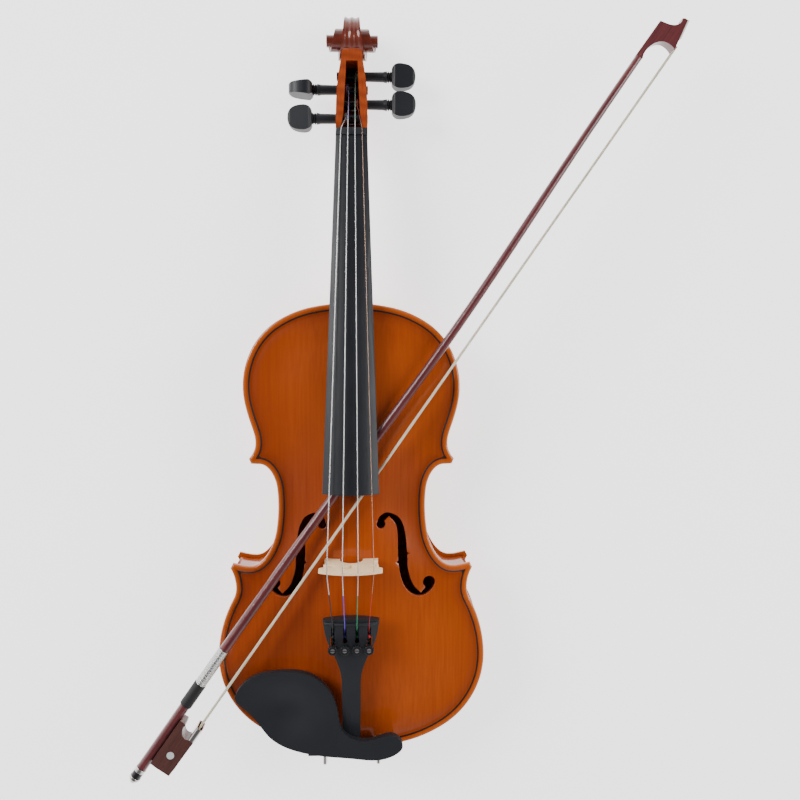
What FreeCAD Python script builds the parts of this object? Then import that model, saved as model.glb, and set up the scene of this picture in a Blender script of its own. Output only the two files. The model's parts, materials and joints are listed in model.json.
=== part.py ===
import FreeCAD, Part
import math
import os
from FreeCAD import Vector as V

# Driving dimensions, millimetres. y runs from the tail edge of the body towards the scroll,
# x = 0 is the centre plane, z = 0 is the lowest point of the back's arch.
BODY_LENGTH = 355.0
LOWER_BOUT = 210.6
WAIST = 115.0
UPPER_BOUT = 168.2
RIB_HEIGHT = 31.0
PLATE_EDGE = 4.0
PLATE_THICK = 3.0
BELLY_ARCH = 15.0
BACK_ARCH = 15.0
OVERHANG = 2.8
RIB_THICK = 1.1
LINING = 2.2
PURFLING_INSET = 4.2
PURFLING_WIDTH = 1.3
NECK_LENGTH = 126.6
BOARD_LENGTH = 270.0
BOARD_NUT_WIDTH = 24.0
BOARD_END_WIDTH = 42.5
BOARD_EDGE = 4.5
BOARD_RADIUS = 42.0
BOARD_NUT_Z = 48.7
BOARD_SLOPE = 0.127
BRIDGE_Y = 155.7
BRIDGE_HEIGHT = 34.0
STRING_SPAN_NUT = 16.2
STRING_SPAN_BRIDGE = 34.8
STRING_SPAN_TAIL = 27.6
TAILPIECE_TOP_Y = 114.5
TAILPIECE_END_Y = 16.0
TAILPIECE_WIDTH = 43.0
SCROLL_RADIUS = 22.0
SCROLL_WIDTH = 40.0
PEG_HEAD = 18.6
PEG_TAPER = 30.0
BOW_LENGTH = 713.0
BOW_DIAMETER = 7.9
BOW_TIP_DIAMETER = 5.4
BOW_HAIR_DROP = 22.3
BOW_ANGLE = 55.16
BOW_DIP = 1.49

Z_BACK = BACK_ARCH
Z_BELLY = Z_BACK + RIB_HEIGHT
Z_EDGE = Z_BELLY + PLATE_EDGE
Z_TOP = Z_BELLY + BELLY_ARCH
NUT_Y = BODY_LENGTH + NECK_LENGTH
Y_MID = BODY_LENGTH / 2.0
SCROLL_Y = NUT_Y + 76.4
SCROLL_Z = SCROLL_RADIUS + 1.4
ENDPIN_Z = Z_BACK + RIB_HEIGHT / 2.0
COURSES = ("g", "d", "a", "e")
STRING_RADIUS = {"g": 0.40, "d": 0.38, "a": 0.34, "e": 0.16}
PEG_PLACE = {"g": (15.5, 32.6), "e": (28.0, 27.2), "d": (40.0, 23.6), "a": (51.5, 20.0)}


def box(x0, x1, y0, y1, z0, z1):
    return Part.makeBox(x1 - x0, y1 - y0, z1 - z0, V(x0, y0, z0))


def rod(a, b, radius, end_radius=None):
    axis = b - a
    if end_radius is None or abs(end_radius - radius) < 1e-6:
        return Part.makeCylinder(radius, axis.Length, a, axis)
    return Part.makeCone(radius, end_radius, axis.Length, a, axis)


def ball(centre, radius):
    return Part.makeSphere(radius, centre)


def fuse(shapes):
    whole = shapes[0].multiFuse(shapes[1:]) if len(shapes) > 1 else shapes[0]
    return whole.removeSplitter()


def largest(shape):
    return max(shape.Solids, key=lambda s: s.Volume)


def polygon(points):
    return Part.Face(Part.makePolygon(points + [points[0]]))


def side_prism(points, x0, x1):
    face = polygon([V(x0, y, z) for y, z in points])
    return face.extrude(V(x1 - x0, 0, 0))


def plan_prism(points, z0, z1):
    face = polygon([V(x, y, z0) for x, y in points])
    return face.extrude(V(0, 0, z1 - z0))


def smooth(points, closed=False):
    curve = Part.BSplineCurve()
    curve.interpolate(Points=points, PeriodicFlag=closed)
    return curve.toShape()


def mirrored(shape):
    return shape.mirror(V(0, 0, 0), V(1, 0, 0))


def cord(points, radius):
    parts = [rod(a, b, radius) for a, b in zip(points, points[1:])]
    parts += [ball(p, radius) for p in points[1:-1]]
    return fuse(parts)


# ---- body outline -------------------------------------------------------------------------

def tangent_arcs(p0, heading0, p1, heading1):
    """Two arcs that leave p0 and reach p1 along the two headings and share one tangent."""
    t0 = V(math.cos(math.radians(heading0)), math.sin(math.radians(heading0)), 0)
    t1 = V(math.cos(math.radians(heading1)), math.sin(math.radians(heading1)), 0)
    v = p1 - p0
    t = t0 + t1
    k = 2.0 * (1.0 - t0.dot(t1))
    if abs(k) < 1e-9:
        d = v.dot(v) / (4.0 * v.dot(t1))
    else:
        d = (-v.dot(t) + math.sqrt(v.dot(t) ** 2 + k * v.dot(v))) / k
    middle = (p0 + t0 * d + p1 - t1 * d) * 0.5
    return [one_arc(p0, t0, middle), one_arc(p1, t1, middle)]


def one_arc(start, tangent, end):
    normal = V(-tangent.y, tangent.x, 0)
    chord = end - start
    sag = 2.0 * normal.dot(chord)
    if abs(sag) < 1e-6:
        return Part.makeLine(start, end)
    radius = chord.dot(chord) / sag
    centre = start + normal * radius
    out = (start + end) * 0.5 - centre
    return Part.Arc(start, centre + out * (abs(radius) / out.Length), end).toShape()


def half_outline():
    """Key points of the bass-to-treble half outline: x, y and heading in degrees."""
    lx = LOWER_BOUT / 210.6
    wx = WAIST / 115.0
    ux = UPPER_BOUT / 168.2
    s = BODY_LENGTH / 355.0
    lower = [(0, 0, 0), (74.9 * lx, 19.2 * s, 34), (105.3 * lx, 76 * s, 90), (97 * lx, 115 * s, 113.5),
             (91.1 * lx, 131.5 * s, 90), (95.3 * lx, 147.5 * s, 60.6)]
    waist = [(93.3 * lx, 151.3 * s, 194), (80 * lx, 149 * s, 180), (65.8 * wx, 159.2 * s, 121),
             (57.5 * wx, 198 * s, 90), (62 * wx, 222.5 * s, 61), (72 * ux, 229.9 * s, 2),
             (78.3 * ux, 230.2 * s, 5)]
    upper = [(80 * ux, 234.4 * s, 135.8), (74.8 * ux, 246.5 * s, 90), (78.4 * ux, 261.8 * s, 71),
             (84.1 * ux, 290.5 * s, 90), (58 * ux, 340.5 * s, 147), (0, 355 * s, 180)]
    return lower, waist, upper


def outline_wire():
    edges = []
    last = None
    for run in half_outline():
        if last is not None:
            edges.append(Part.makeLine(V(last[0], last[1], 0), V(run[0][0], run[0][1], 0)))
        for a, b in zip(run, run[1:]):
            edges += tangent_arcs(V(a[0], a[1], 0), a[2], V(b[0], b[1], 0), b[2])
        last = run[-1]
    edges += [mirrored(e) for e in edges]
    return Part.Wire(Part.__sortEdges__(edges))


def body_prism(inset, z0, z1):
    wire = outline_wire()
    if inset > 0:
        wire = wire.makeOffset2D(-inset, 0, False, False, False).Wires[0]
    wire.translate(V(0, 0, z0))
    return Part.Face(wire).extrude(V(0, 0, z1 - z0))


def body_ring(inset, width, z0, z1):
    return body_prism(inset, z0, z1).cut(body_prism(inset + width, z0, z1))


# ---- arched plates ------------------------------------------------------------------------

def arch_half_width(y):
    """Half width of the arched area at y, eased between a few stations."""
    s = BODY_LENGTH / 355.0
    stations = [(-10, 14), (6, 44), (30, 78), (76, 99), (140, 71), (197, 53), (238, 61),
                (290, 79), (328, 63), (350, 30), (365, 14)]
    for (ya, wa), (yb, wb) in zip(stations, stations[1:]):
        if y <= yb * s or (yb, wb) == stations[-1]:
            t = min(max((y / s - ya) / (yb - ya), 0.0), 1.0)
            t = t * t * (3.0 - 2.0 * t)
            return (wa + (wb - wa) * t) * LOWER_BOUT / 210.6
    return 14.0


def arch(x, y):
    """Rise of the arch between 0 at the edge and 1 at the crown: long arch times cross arch."""
    s = min(abs(y - Y_MID) / (Y_MID - 6.0), 1.0)
    along = 1.0 - s ** 2.6
    t = min(abs(x) / arch_half_width(y), 1.0)
    across = (0.5 + 0.5 * math.cos(math.pi * t)) ** 0.85
    return along * across


def arch_solid(edge, crown, columns=24, rows=34):
    """Everything under the arched surface: edge height around the rim, crown height at the middle."""
    grid = []
    for i in range(columns + 1):
        x = -LOWER_BOUT * 0.56 + LOWER_BOUT * 1.12 * i / columns
        line = []
        for j in range(rows + 1):
            y = -14.0 + (BODY_LENGTH + 28.0) * j / rows
            line.append(V(x, y, edge + (crown - edge) * arch(x, y)))
        grid.append(line)
    surface = Part.BSplineSurface()
    surface.interpolate(grid)
    return surface.toShape().extrude(V(0, 0, -60))


def plate(crown, button):
    """One plate with its glue plane at z = 0: solid, hollow underneath, with a flat glue rim."""
    blank = body_prism(0, 0, 30)
    if button:
        tongue = plan_prism([(-10.4, 350), (10.4, 350), (10.4, 356), (-10.4, 356)], 0, 30)
        tip = Part.makeCylinder(10.4, 30, V(0, BODY_LENGTH + 1.0, 0))
        blank = fuse([blank, tongue, tip])
    hollow = body_prism(9.5, -20, 30)
    hollow = hollow.cut(box(-28, 28, BODY_LENGTH - 26, BODY_LENGTH + 10, -20, 30))
    hollow = hollow.cut(box(-26, 26, -10, 24, -20, 30))
    hollow = hollow.common(arch_solid(PLATE_EDGE - PLATE_THICK, crown - PLATE_THICK))
    outside = arch_solid(PLATE_EDGE, crown)
    return blank.common(outside).cut(hollow), outside


def purfling_groove(depth_from):
    return body_ring(PURFLING_INSET, PURFLING_WIDTH, depth_from, 8.0)


def f_hole():
    """Slot between an outer and an inner curve with a round eye at each end and two nicks."""
    outer = [(19.6, 185.2), (21.9, 190.3), (28.0, 193.0), (36.6, 188.6), (41.4, 178.2),
             (43.4, 160.0), (44.3, 146.3), (48.2, 134.9), (54.4, 127.9)]
    inner = [(65.6, 136.6), (63.5, 130.9), (57.6, 126.3), (50.6, 126.0), (43.2, 131.3), (38.4, 141.9),
             (36.2, 157.5), (35.9, 174.0), (34.3, 183.2), (29.0, 189.9)]
    a = smooth([V(x, y, 0) for x, y in outer])
    b = Part.makeLine(V(54.4, 127.9, 0), V(58.2, 132.4, 0))
    c = Part.makeLine(V(58.2, 132.4, 0), V(65.6, 136.6, 0))
    d = smooth([V(x, y, 0) for x, y in inner])
    e = Part.makeLine(V(29.0, 189.9, 0), V(25.2, 186.3, 0))
    f = Part.makeLine(V(25.2, 186.3, 0), V(19.6, 185.2, 0))
    slot = Part.Face(Part.Wire([a, b, c, d, e, f])).extrude(V(0, 0, 40))
    eyes = [Part.makeCylinder(3.4, 40, V(22.8, 184.0, 0)), Part.makeCylinder(4.8, 40, V(60.8, 136.1, 0))]
    nicks = [plan_prism([(42.6, 161.6), (45.2, 159.8), (42.6, 158.0)], 0, 40),
             plan_prism([(37.2, 155.4), (34.6, 153.6), (37.2, 151.8)], 0, 40)]
    hole = fuse([slot] + eyes + nicks)
    hole.translate(V(0, 0, 30))
    return hole


def make_belly(parts):
    body, outside = plate(BELLY_ARCH, False)
    groove = purfling_groove(2.2)
    inlay = groove.common(outside)
    body = body.cut(groove)
    body.translate(V(0, 0, Z_BELLY))
    inlay.translate(V(0, 0, Z_BELLY))
    hole = f_hole()
    body = body.cut(hole).cut(mirrored(hole))
    saddle = saddle_shape()
    notch = parts["neck_and_scroll"]
    parts["belly"] = largest(body.cut(saddle).cut(notch))
    parts["purfling_belly"] = inlay.cut(saddle).cut(notch)
    parts["saddle"] = saddle


def make_back(parts):
    body, outside = plate(BACK_ARCH, True)
    groove = purfling_groove(2.2)
    inlay = groove.common(outside)
    body = body.cut(groove).mirror(V(0, 0, 0), V(0, 0, 1))
    inlay = inlay.mirror(V(0, 0, 0), V(0, 0, 1))
    body.translate(V(0, 0, Z_BACK))
    inlay.translate(V(0, 0, Z_BACK))
    parts["back"] = body
    parts["purfling_back"] = inlay


# ---- ribs, linings and blocks ------------------------------------------------------------

def corner_cut(side):
    """Wedge between the two corner tips of one side, which holds that side's waist rib."""
    lower, waist, upper = half_outline()
    xl, yl = lower[-1][0], (lower[-1][1] + waist[0][1]) / 2.0
    xu, yu = upper[0][0], (upper[0][1] + waist[-1][1]) / 2.0
    points = [(10, yl - 22), (xl + 6, yl + 1.5), (xl + 12, yl + 20), (xu + 14, yu - 10), (xu + 5, yu - 1),
              (10, yu + 20)]
    return plan_prism([(x * side, y) for x, y in points], -5, 80)


def make_ribs(parts):
    ring = body_ring(OVERHANG, RIB_THICK, Z_BACK, Z_BELLY)
    ring = ring.cut(parts["neck_and_scroll"]).cut(parts["endpin"])
    for side, name in ((-1, "bass"), (1, "treble")):
        half = box(0, 150, -20, 400, 0, 80) if side > 0 else box(-150, 0, -20, 400, 0, 80)
        wedge = corner_cut(side)
        outside = ring.common(half).cut(wedge)
        parts["rib_waist_" + name] = ring.common(wedge)
        parts["rib_lower_" + name] = outside.common(box(-150, 150, -20, Y_MID, 0, 80))
        parts["rib_upper_" + name] = outside.common(box(-150, 150, Y_MID, 400, 0, 80))


def make_blocks(parts):
    inside = OVERHANG + RIB_THICK
    core = body_prism(inside, Z_BACK, Z_BELLY)
    neck_block = core.common(box(-25, 25, BODY_LENGTH - 22, BODY_LENGTH, 0, 80))
    tail_block = core.common(box(-23, 23, 0, 21, 0, 80))
    lower, waist, upper = half_outline()
    xl, yl, xu, yu = lower[-1][0], lower[-1][1], upper[0][0], upper[0][1]
    zones = [[(xl + 12, yl - 24), (xl - 10, yl - 24), (xl - 32, yl + 1), (xl - 26, yl + 16), (xl + 12, yl + 22)],
             [(xu + 12, yu + 24), (xu - 8, yu + 24), (xu - 26, yu + 6), (xu - 24, yu - 12), (xu + 12, yu - 18)]]
    corners = []
    for zone in zones:
        for side in (-1, 1):
            corners.append(core.common(plan_prism([(x * side, y) for x, y in zone], -5, 80)))
    corners = Part.makeCompound([largest(c) for c in corners])
    blocks = fuse([neck_block, tail_block] + corners.Solids)
    for name, z in (("back_linings", Z_BACK), ("belly_linings", Z_BELLY - 7.5)):
        parts[name] = body_ring(inside, LINING, z, z + 7.5).cut(blocks)
    parts["corner_blocks"] = corners
    parts["neck_block"] = neck_block.cut(parts["neck_and_scroll"])
    parts["tail_block"] = tail_block.cut(parts["endpin"])


def make_bass_bar(parts):
    inner = arch_solid(PLATE_EDGE - PLATE_THICK, BELLY_ARCH - PLATE_THICK)
    inner.translate(V(0, 0, Z_BELLY))
    lo, hi = 46.0, BODY_LENGTH - 45.0
    rise = Part.Arc(V(-19.5, lo, 49), V(-19.5, BRIDGE_Y, 45.5), V(-19.5, hi, 49)).toShape()
    top = [V(-19.5, hi, 49), V(-19.5, hi, 70), V(-19.5, lo, 70), V(-19.5, lo, 49)]
    lines = [Part.makeLine(a, b) for a, b in zip(top, top[1:])]
    profile = Part.Face(Part.Wire([rise] + lines))
    bar = profile.extrude(V(5.5, 0, 0)).common(inner)
    parts["bass_bar"] = bar.cut(parts["belly"])


def make_sound_post(parts):
    post = Part.makeCylinder(3.0, 70, V(18.5, BRIDGE_Y - 9.0, 0))
    post = post.cut(parts["belly"]).cut(parts["back"])
    middle = [s for s in post.Solids if s.BoundBox.ZMin > 1.5 and s.BoundBox.ZMax < Z_TOP - 0.5]
    parts["sound_post"] = max(middle, key=lambda s: s.Volume)


def saddle_shape():
    arc = Part.Arc(V(0, 0.15, Z_EDGE + 6.2), V(0, 3.4, Z_EDGE + 8.0), V(0, 8.4, Z_EDGE + 7.2)).toShape()
    pts = [V(0, 8.4, Z_EDGE + 7.2), V(0, 8.4, Z_BELLY), V(0, 0.15, Z_BELLY), V(0, 0.15, Z_EDGE + 6.2)]
    lines = [Part.makeLine(a, b) for a, b in zip(pts, pts[1:])]
    slab = Part.Face(Part.Wire([arc] + lines)).extrude(V(34, 0, 0))
    slab.translate(V(-17, 0, 0))
    ends = plan_prism([(-17, -1), (17, -1), (17, 9), (-17, 9)], 40, 70)
    front = Part.Arc(V(-17, Z_EDGE, 0), V(0, Z_TOP + 3, 0), V(17, Z_EDGE, 0)).toShape()
    crown = Part.Face(Part.Wire([front, Part.makeLine(V(17, Z_EDGE, 0), V(17, 40, 0)),
                                 Part.makeLine(V(17, 40, 0), V(-17, 40, 0)),
                                 Part.makeLine(V(-17, 40, 0), V(-17, Z_EDGE, 0))]))
    crown = crown.extrude(V(0, 0, 20))
    crown.rotate(V(0, 0, 0), V(1, 0, 0), 90)
    crown.translate(V(0, 15, 0))
    return slab.common(ends).common(crown)


# ---- neck, pegbox, scroll ----------------------------------------------------------------

def crown_of(width):
    return BOARD_RADIUS - math.sqrt(BOARD_RADIUS ** 2 - width ** 2 / 4.0)


def board_width(y):
    return BOARD_NUT_WIDTH + (BOARD_END_WIDTH - BOARD_NUT_WIDTH) * (NUT_Y - y) / BOARD_LENGTH


def board_top(y):
    return BOARD_NUT_Z + BOARD_SLOPE * (NUT_Y - y)


def board_under(y):
    a = BOARD_NUT_Z - crown_of(BOARD_NUT_WIDTH) - BOARD_EDGE
    b = board_top(NUT_Y - BOARD_LENGTH) - crown_of(BOARD_END_WIDTH) - BOARD_EDGE
    return a + (b - a) * (NUT_Y - y) / BOARD_LENGTH


def board_section(y, width, under, edge, crown):
    h = width / 2.0
    p = [V(-h, y, under + edge), V(-h, y, under), V(h, y, under), V(h, y, under + edge)]
    lines = [Part.makeLine(a, b) for a, b in zip(p, p[1:])]
    arc = Part.Arc(p[3], V(0, y, under + edge + crown), p[0]).toShape()
    return Part.Wire(lines + [arc])


def make_fingerboard(parts):
    end = NUT_Y - BOARD_LENGTH
    a = board_section(NUT_Y, BOARD_NUT_WIDTH, board_under(NUT_Y), BOARD_EDGE, crown_of(BOARD_NUT_WIDTH))
    b = board_section(end, BOARD_END_WIDTH, board_under(end), BOARD_EDGE, crown_of(BOARD_END_WIDTH))
    board = Part.makeLoft([a, b], True, True)
    c = board_section(BODY_LENGTH - 9, 16, board_under(BODY_LENGTH - 9) - 1, 1.0, 1.2)
    d = board_section(end - 1, BOARD_END_WIDTH - 8, board_under(end - 1) - 1, 1.0, 4.4)
    board = board.cut(Part.makeLoft([c, d], True, True))
    parts["fingerboard"] = board


def make_nut(parts):
    zt = BOARD_NUT_Z + 0.9
    w = BOARD_NUT_WIDTH + 0.2
    crown = crown_of(w)
    a = board_section(NUT_Y, w, board_under(NUT_Y), zt - crown - board_under(NUT_Y), crown)
    b = board_section(NUT_Y + 5.6, w - 0.6, board_under(NUT_Y), zt - crown - board_under(NUT_Y) - 1.4, crown)
    nut = Part.makeLoft([a, b], True, True)
    for name in COURSES:
        nut = nut.cut(string_groove(name, 0, 3))
    parts["nut"] = nut


def neck_section(y, width, top, bottom):
    h = width / 2.0
    arc = Part.Arc(V(h, y, top), V(0, y, bottom), V(-h, y, top)).toShape()
    return Part.Wire([Part.makeLine(V(-h, y, top), V(h, y, top)), arc])


def heel_section(z, half, front):
    """Flat face against the body and half an ellipse towards the handle."""
    y0 = BODY_LENGTH - 8.5
    y1 = BODY_LENGTH - 3.0
    p = [V(-half, y1, z), V(-half, y0, z), V(half, y0, z), V(half, y1, z)]
    lines = [Part.makeLine(a, b) for a, b in zip(p, p[1:])]
    turns = [math.pi * k / 12.0 for k in range(13)]
    curve = smooth([V(half * math.cos(a), y1 + (front + 3.0) * math.sin(a), z) for a in turns])
    return Part.Wire(lines + [curve])


def handle():
    ys = [NUT_Y + 5.6, NUT_Y, NUT_Y - 40.0, BODY_LENGTH + 26.0, BODY_LENGTH - 8.5]
    deep = [BOARD_NUT_Z - 20.0, BOARD_NUT_Z - 18.8, BOARD_NUT_Z - 14.6, BOARD_NUT_Z - 8.4, BOARD_NUT_Z - 4.0]
    sections = [neck_section(y, board_width(min(y, NUT_Y)), board_under(min(y, NUT_Y)), z)
                for y, z in zip(ys, deep)]
    return Part.makeLoft(sections, True, True)


def heel():
    z = Z_BACK
    stations = [(z, 10.4, 11.4), (z + 10, 11.2, 12.2), (z + 20, 12.8, 15.6), (z + 28, 14.2, 23.0),
                (z + 36, 15.4, 38.0)]
    return Part.makeLoft([heel_section(a, b, c) for a, b, c in stations], True, False)


def scroll_radius(turn):
    """Spiral radius after the given number of turns from the back of the head, shrinking inwards."""
    return SCROLL_RADIUS * math.exp(-0.62 * turn)


def spiral_point(turn, inset):
    angle = -math.pi / 2.0 + 2.0 * math.pi * turn
    r = scroll_radius(turn) - inset
    return V(0, SCROLL_Y + r * math.cos(angle), SCROLL_Z + r * math.sin(angle))


def volute():
    """Nested spiral layers: each starts a little later along the spiral and stands out further."""
    layers = []
    count = 10
    for k in range(count):
        start = 0.18 * k
        half = 4.8 + (SCROLL_WIDTH / 2.0 - 4.8) * (k / (count - 1.0)) ** 1.35
        points = [spiral_point(start + j / 16.0, 0.12 * k) for j in range(17)]
        edge = smooth(points)
        close = Part.makeLine(points[-1], points[0])
        face = Part.Face(Part.Wire([edge, close]))
        layer = face.extrude(V(half * 2.0, 0, 0))
        layer.translate(V(-half, 0, 0))
        layers.append(layer)
    return fuse(layers)


def pegbox():
    lo = NUT_Y
    back = smooth([V(0, lo, BOARD_NUT_Z - 18.6), V(0, lo + 14, 24.5), V(0, lo + 34, 12.5),
                   V(0, lo + 56, 3.8), V(0, SCROLL_Y, SCROLL_Z - SCROLL_RADIUS)])
    pts = [V(0, SCROLL_Y, SCROLL_Z - SCROLL_RADIUS), V(0, SCROLL_Y + 2, SCROLL_Z),
           V(0, SCROLL_Y - 9, SCROLL_Z + 11.5), V(0, lo + 5.6, board_under(NUT_Y) + 2.2),
           V(0, lo + 5.6, board_under(NUT_Y)), V(0, lo, board_under(NUT_Y)), V(0, lo, BOARD_NUT_Z - 18.6)]
    lines = [Part.makeLine(a, b) for a, b in zip(pts, pts[1:])]
    side = Part.Face(Part.Wire([back] + lines)).extrude(V(30, 0, 0))
    side.translate(V(-15, 0, 0))
    half = [(12.1, 0), (12.1, 16), (11.9, 28), (11.3, 39), (10.1, 49), (8.4, 60), (6.6, 76), (5, 99)]
    plan = [(w, lo + d) for w, d in half] + [(-w, lo + d) for w, d in reversed(half)]
    return side.common(plan_prism(plan, -5, 70))


def pegbox_cavity():
    lo = NUT_Y
    floor = [(lo + 5.8, 70), (lo + 5.8, 34), (lo + 10, 29.2), (lo + 30, 19.2), (lo + 46, 12.5),
             (lo + 55, 11.5), (lo + 58.5, 16), (lo + 58.5, 70)]
    plan = [(8.7, lo + 5.8), (7.5, lo + 11), (6.4, lo + 17), (5.6, lo + 31), (4.9, lo + 45), (4.4, lo + 58.5)]
    plan = plan + [(-x, y) for x, y in reversed(plan)]
    return side_prism(floor, -8, 8).common(plan_prism(plan, 0, 80))


def make_neck(parts):
    neck = fuse([handle(), heel(), pegbox(), volute()])
    neck = neck.cut(pegbox_cavity()).cut(parts["nut"])
    for name in COURSES:
        neck = neck.cut(peg_cone(name, 0.06))
    parts["neck_and_scroll"] = neck


# ---- pegs --------------------------------------------------------------------------------

def peg_side(name):
    return -1 if name in ("g", "d") else 1


def peg_radius(distance):
    """Radius of the tapered shaft, measured from the far end of the pegbox towards the head."""
    return 3.25 + distance / PEG_TAPER / 2.0


def peg_cone(name, gap):
    """Tapered shaft across the pegbox; built for a head at +x, then turned for the other side."""
    dy, z = PEG_PLACE[name]
    a, b = -12.3, 26.5
    shape = rod(V(a, 0, 0), V(b, 0, 0), peg_radius(0) + gap, peg_radius(b - a) + gap)
    if peg_side(name) < 0:
        shape = mirrored(shape)
    shape.translate(V(0, NUT_Y + dy, z))
    return shape


def peg_head(broad):
    """Thumb piece with square shoulders at the collar, tapered in outline and in thickness."""
    r = PEG_HEAD / 2.0
    x0 = 31.0
    half = [(0.0, 0.36), (0.05, 0.78), (0.22, 0.98), (0.48, 1.0), (0.78, 0.84), (0.95, 0.5), (1.0, 0.0)]
    right = [V(x0 + PEG_HEAD * a, r * b, -8) for a, b in half]
    left = [V(p.x, -p.y, p.z) for p in reversed(right[:-1])]
    edge = Part.makeLine(left[-1], right[0])
    disc = Part.Face(Part.Wire([smooth(right + left), edge])).extrude(V(0, 0, 16))
    taper = [(x0 - 1, 3.4), (x0 + 2.4, 5.5), (x0 + PEG_HEAD - 2, 3.9), (x0 + PEG_HEAD + 1, 2.6)]
    wedge = [V(x, 0, z) for x, z in taper] + [V(x, 0, -z) for x, z in reversed(taper)]
    slab = polygon(wedge).extrude(V(0, 24, 0))
    slab.translate(V(0, -12, 0))
    neck = rod(V(26.0, 0, 0), V(33.5, 0, 0), 3.6, 3.0)
    collar = rod(V(24.6, 0, 0), V(27.2, 0, 0), 4.0, 4.5)
    rings = []
    for x in (27.6, 29.4):
        rings.append(rod(V(x, 0, 0), V(x + 0.8, 0, 0), 3.4, 4.6))
        rings.append(rod(V(x + 0.8, 0, 0), V(x + 1.6, 0, 0), 4.6, 3.4))
    head = fuse([disc.common(slab), neck, collar] + rings)
    if not broad:
        head.rotate(V(0, 0, 0), V(1, 0, 0), 90)
    return head


def coil_place(name):
    return {"g": -3.4, "d": -2.6, "a": 2.4, "e": 3.2}[name]


def coil_radius(name):
    x = coil_place(name) * peg_side(name)
    return peg_radius(x + 16.0) + 0.44 + STRING_RADIUS[name]


def make_peg(name, parts):
    dy, z = PEG_PLACE[name]
    shaft = rod(V(-12.3, 0, 0), V(26.5, 0, 0), peg_radius(0), peg_radius(38.8))
    peg = fuse([shaft, peg_head(name != "d")])
    hole = rod(V(coil_place(name) * peg_side(name) - 3.0, 0, -9), V(coil_place(name) * peg_side(name) - 3.0, 0, 9),
               0.8)
    peg = peg.cut(hole)
    if peg_side(name) < 0:
        peg = mirrored(peg)
    peg.translate(V(0, NUT_Y + dy, z))
    parts["peg_" + name] = peg


# ---- strings -----------------------------------------------------------------------------

def course_x(name, span):
    return (COURSES.index(name) - 1.5) * span / 3.0


def bridge_string_z(name):
    x = course_x(name, STRING_SPAN_BRIDGE)
    return Z_TOP + BRIDGE_HEIGHT - crown_of(2.0 * abs(x)) + STRING_RADIUS[name] * 0.4


def tail_top(y):
    return 63.4 + 0.158 * (y - TAILPIECE_END_Y)


def string_route(name):
    """Corner points from the top of the peg coil to the ball end, and the angle where it leaves the coil."""
    r = STRING_RADIUS[name]
    dy, pz = PEG_PLACE[name]
    py = NUT_Y + dy
    rc = coil_radius(name)
    xc = coil_place(name)
    xn = course_x(name, STRING_SPAN_NUT)
    nut_z = BOARD_NUT_Z + 0.9 - crown_of(2.0 * abs(xn)) + r * 0.3
    far = V(xn, NUT_Y + 4.4, nut_z - 0.75)
    dist = math.hypot(py - far.y, pz - far.z)
    base = math.atan2(far.z - pz, far.y - py)
    swing = math.acos(rc / dist)
    angle = base - swing
    leave = V(xc, py + rc * math.cos(angle), pz + rc * math.sin(angle))
    xb = course_x(name, STRING_SPAN_BRIDGE)
    xt = course_x(name, STRING_SPAN_TAIL)
    top = TAILPIECE_TOP_Y - 2.3
    path = [leave, far, V(xn, NUT_Y + 1.2, nut_z), V(xb, BRIDGE_Y, bridge_string_z(name)),
            V(xt, top, tail_saddle_z(xt) + r), V(xt, top - 3.6, tail_top(top) - 1.2), V(xt, 102.6, 73.5)]
    return path, angle


def string_groove(name, first, last):
    """Tool that cuts the seat of a string between two corners of its route."""
    return cord(string_route(name)[0][first:last + 1], STRING_RADIUS[name])


def make_string(name, parts):
    """Coil round the peg with a running gap, then over nut, bridge and tailpiece to the ball end."""
    r = STRING_RADIUS[name]
    dy, pz = PEG_PLACE[name]
    py = NUT_Y + dy
    rc = coil_radius(name)
    xc = coil_place(name)
    path, angle = string_route(name)
    turns = 2.4 if name != "e" else 3.2
    pitch = 2.0 * r + 0.12
    steps = int(turns * 18)
    points = []
    for i in range(steps + 1):
        a = angle + 2.0 * math.pi * turns * i / steps
        x = xc + peg_side(name) * pitch * turns * i / steps
        points.append(V(x, py + rc * math.cos(a), pz + rc * math.sin(a)))
    ring = Part.Wire([Part.makeCircle(r, points[0], points[1] - points[0])])
    coil = Part.makePolygon(points).makePipeShell([ring], True, False, 1)
    end = V(path[-1].x, 101.3, 73.1)
    run = fuse([cord(path, r), ball(end, 1.6)])
    parts["string_" + name] = Part.makeCompound([coil.Solids[0]] + run.Solids)


# ---- bridge ------------------------------------------------------------------------------

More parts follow.
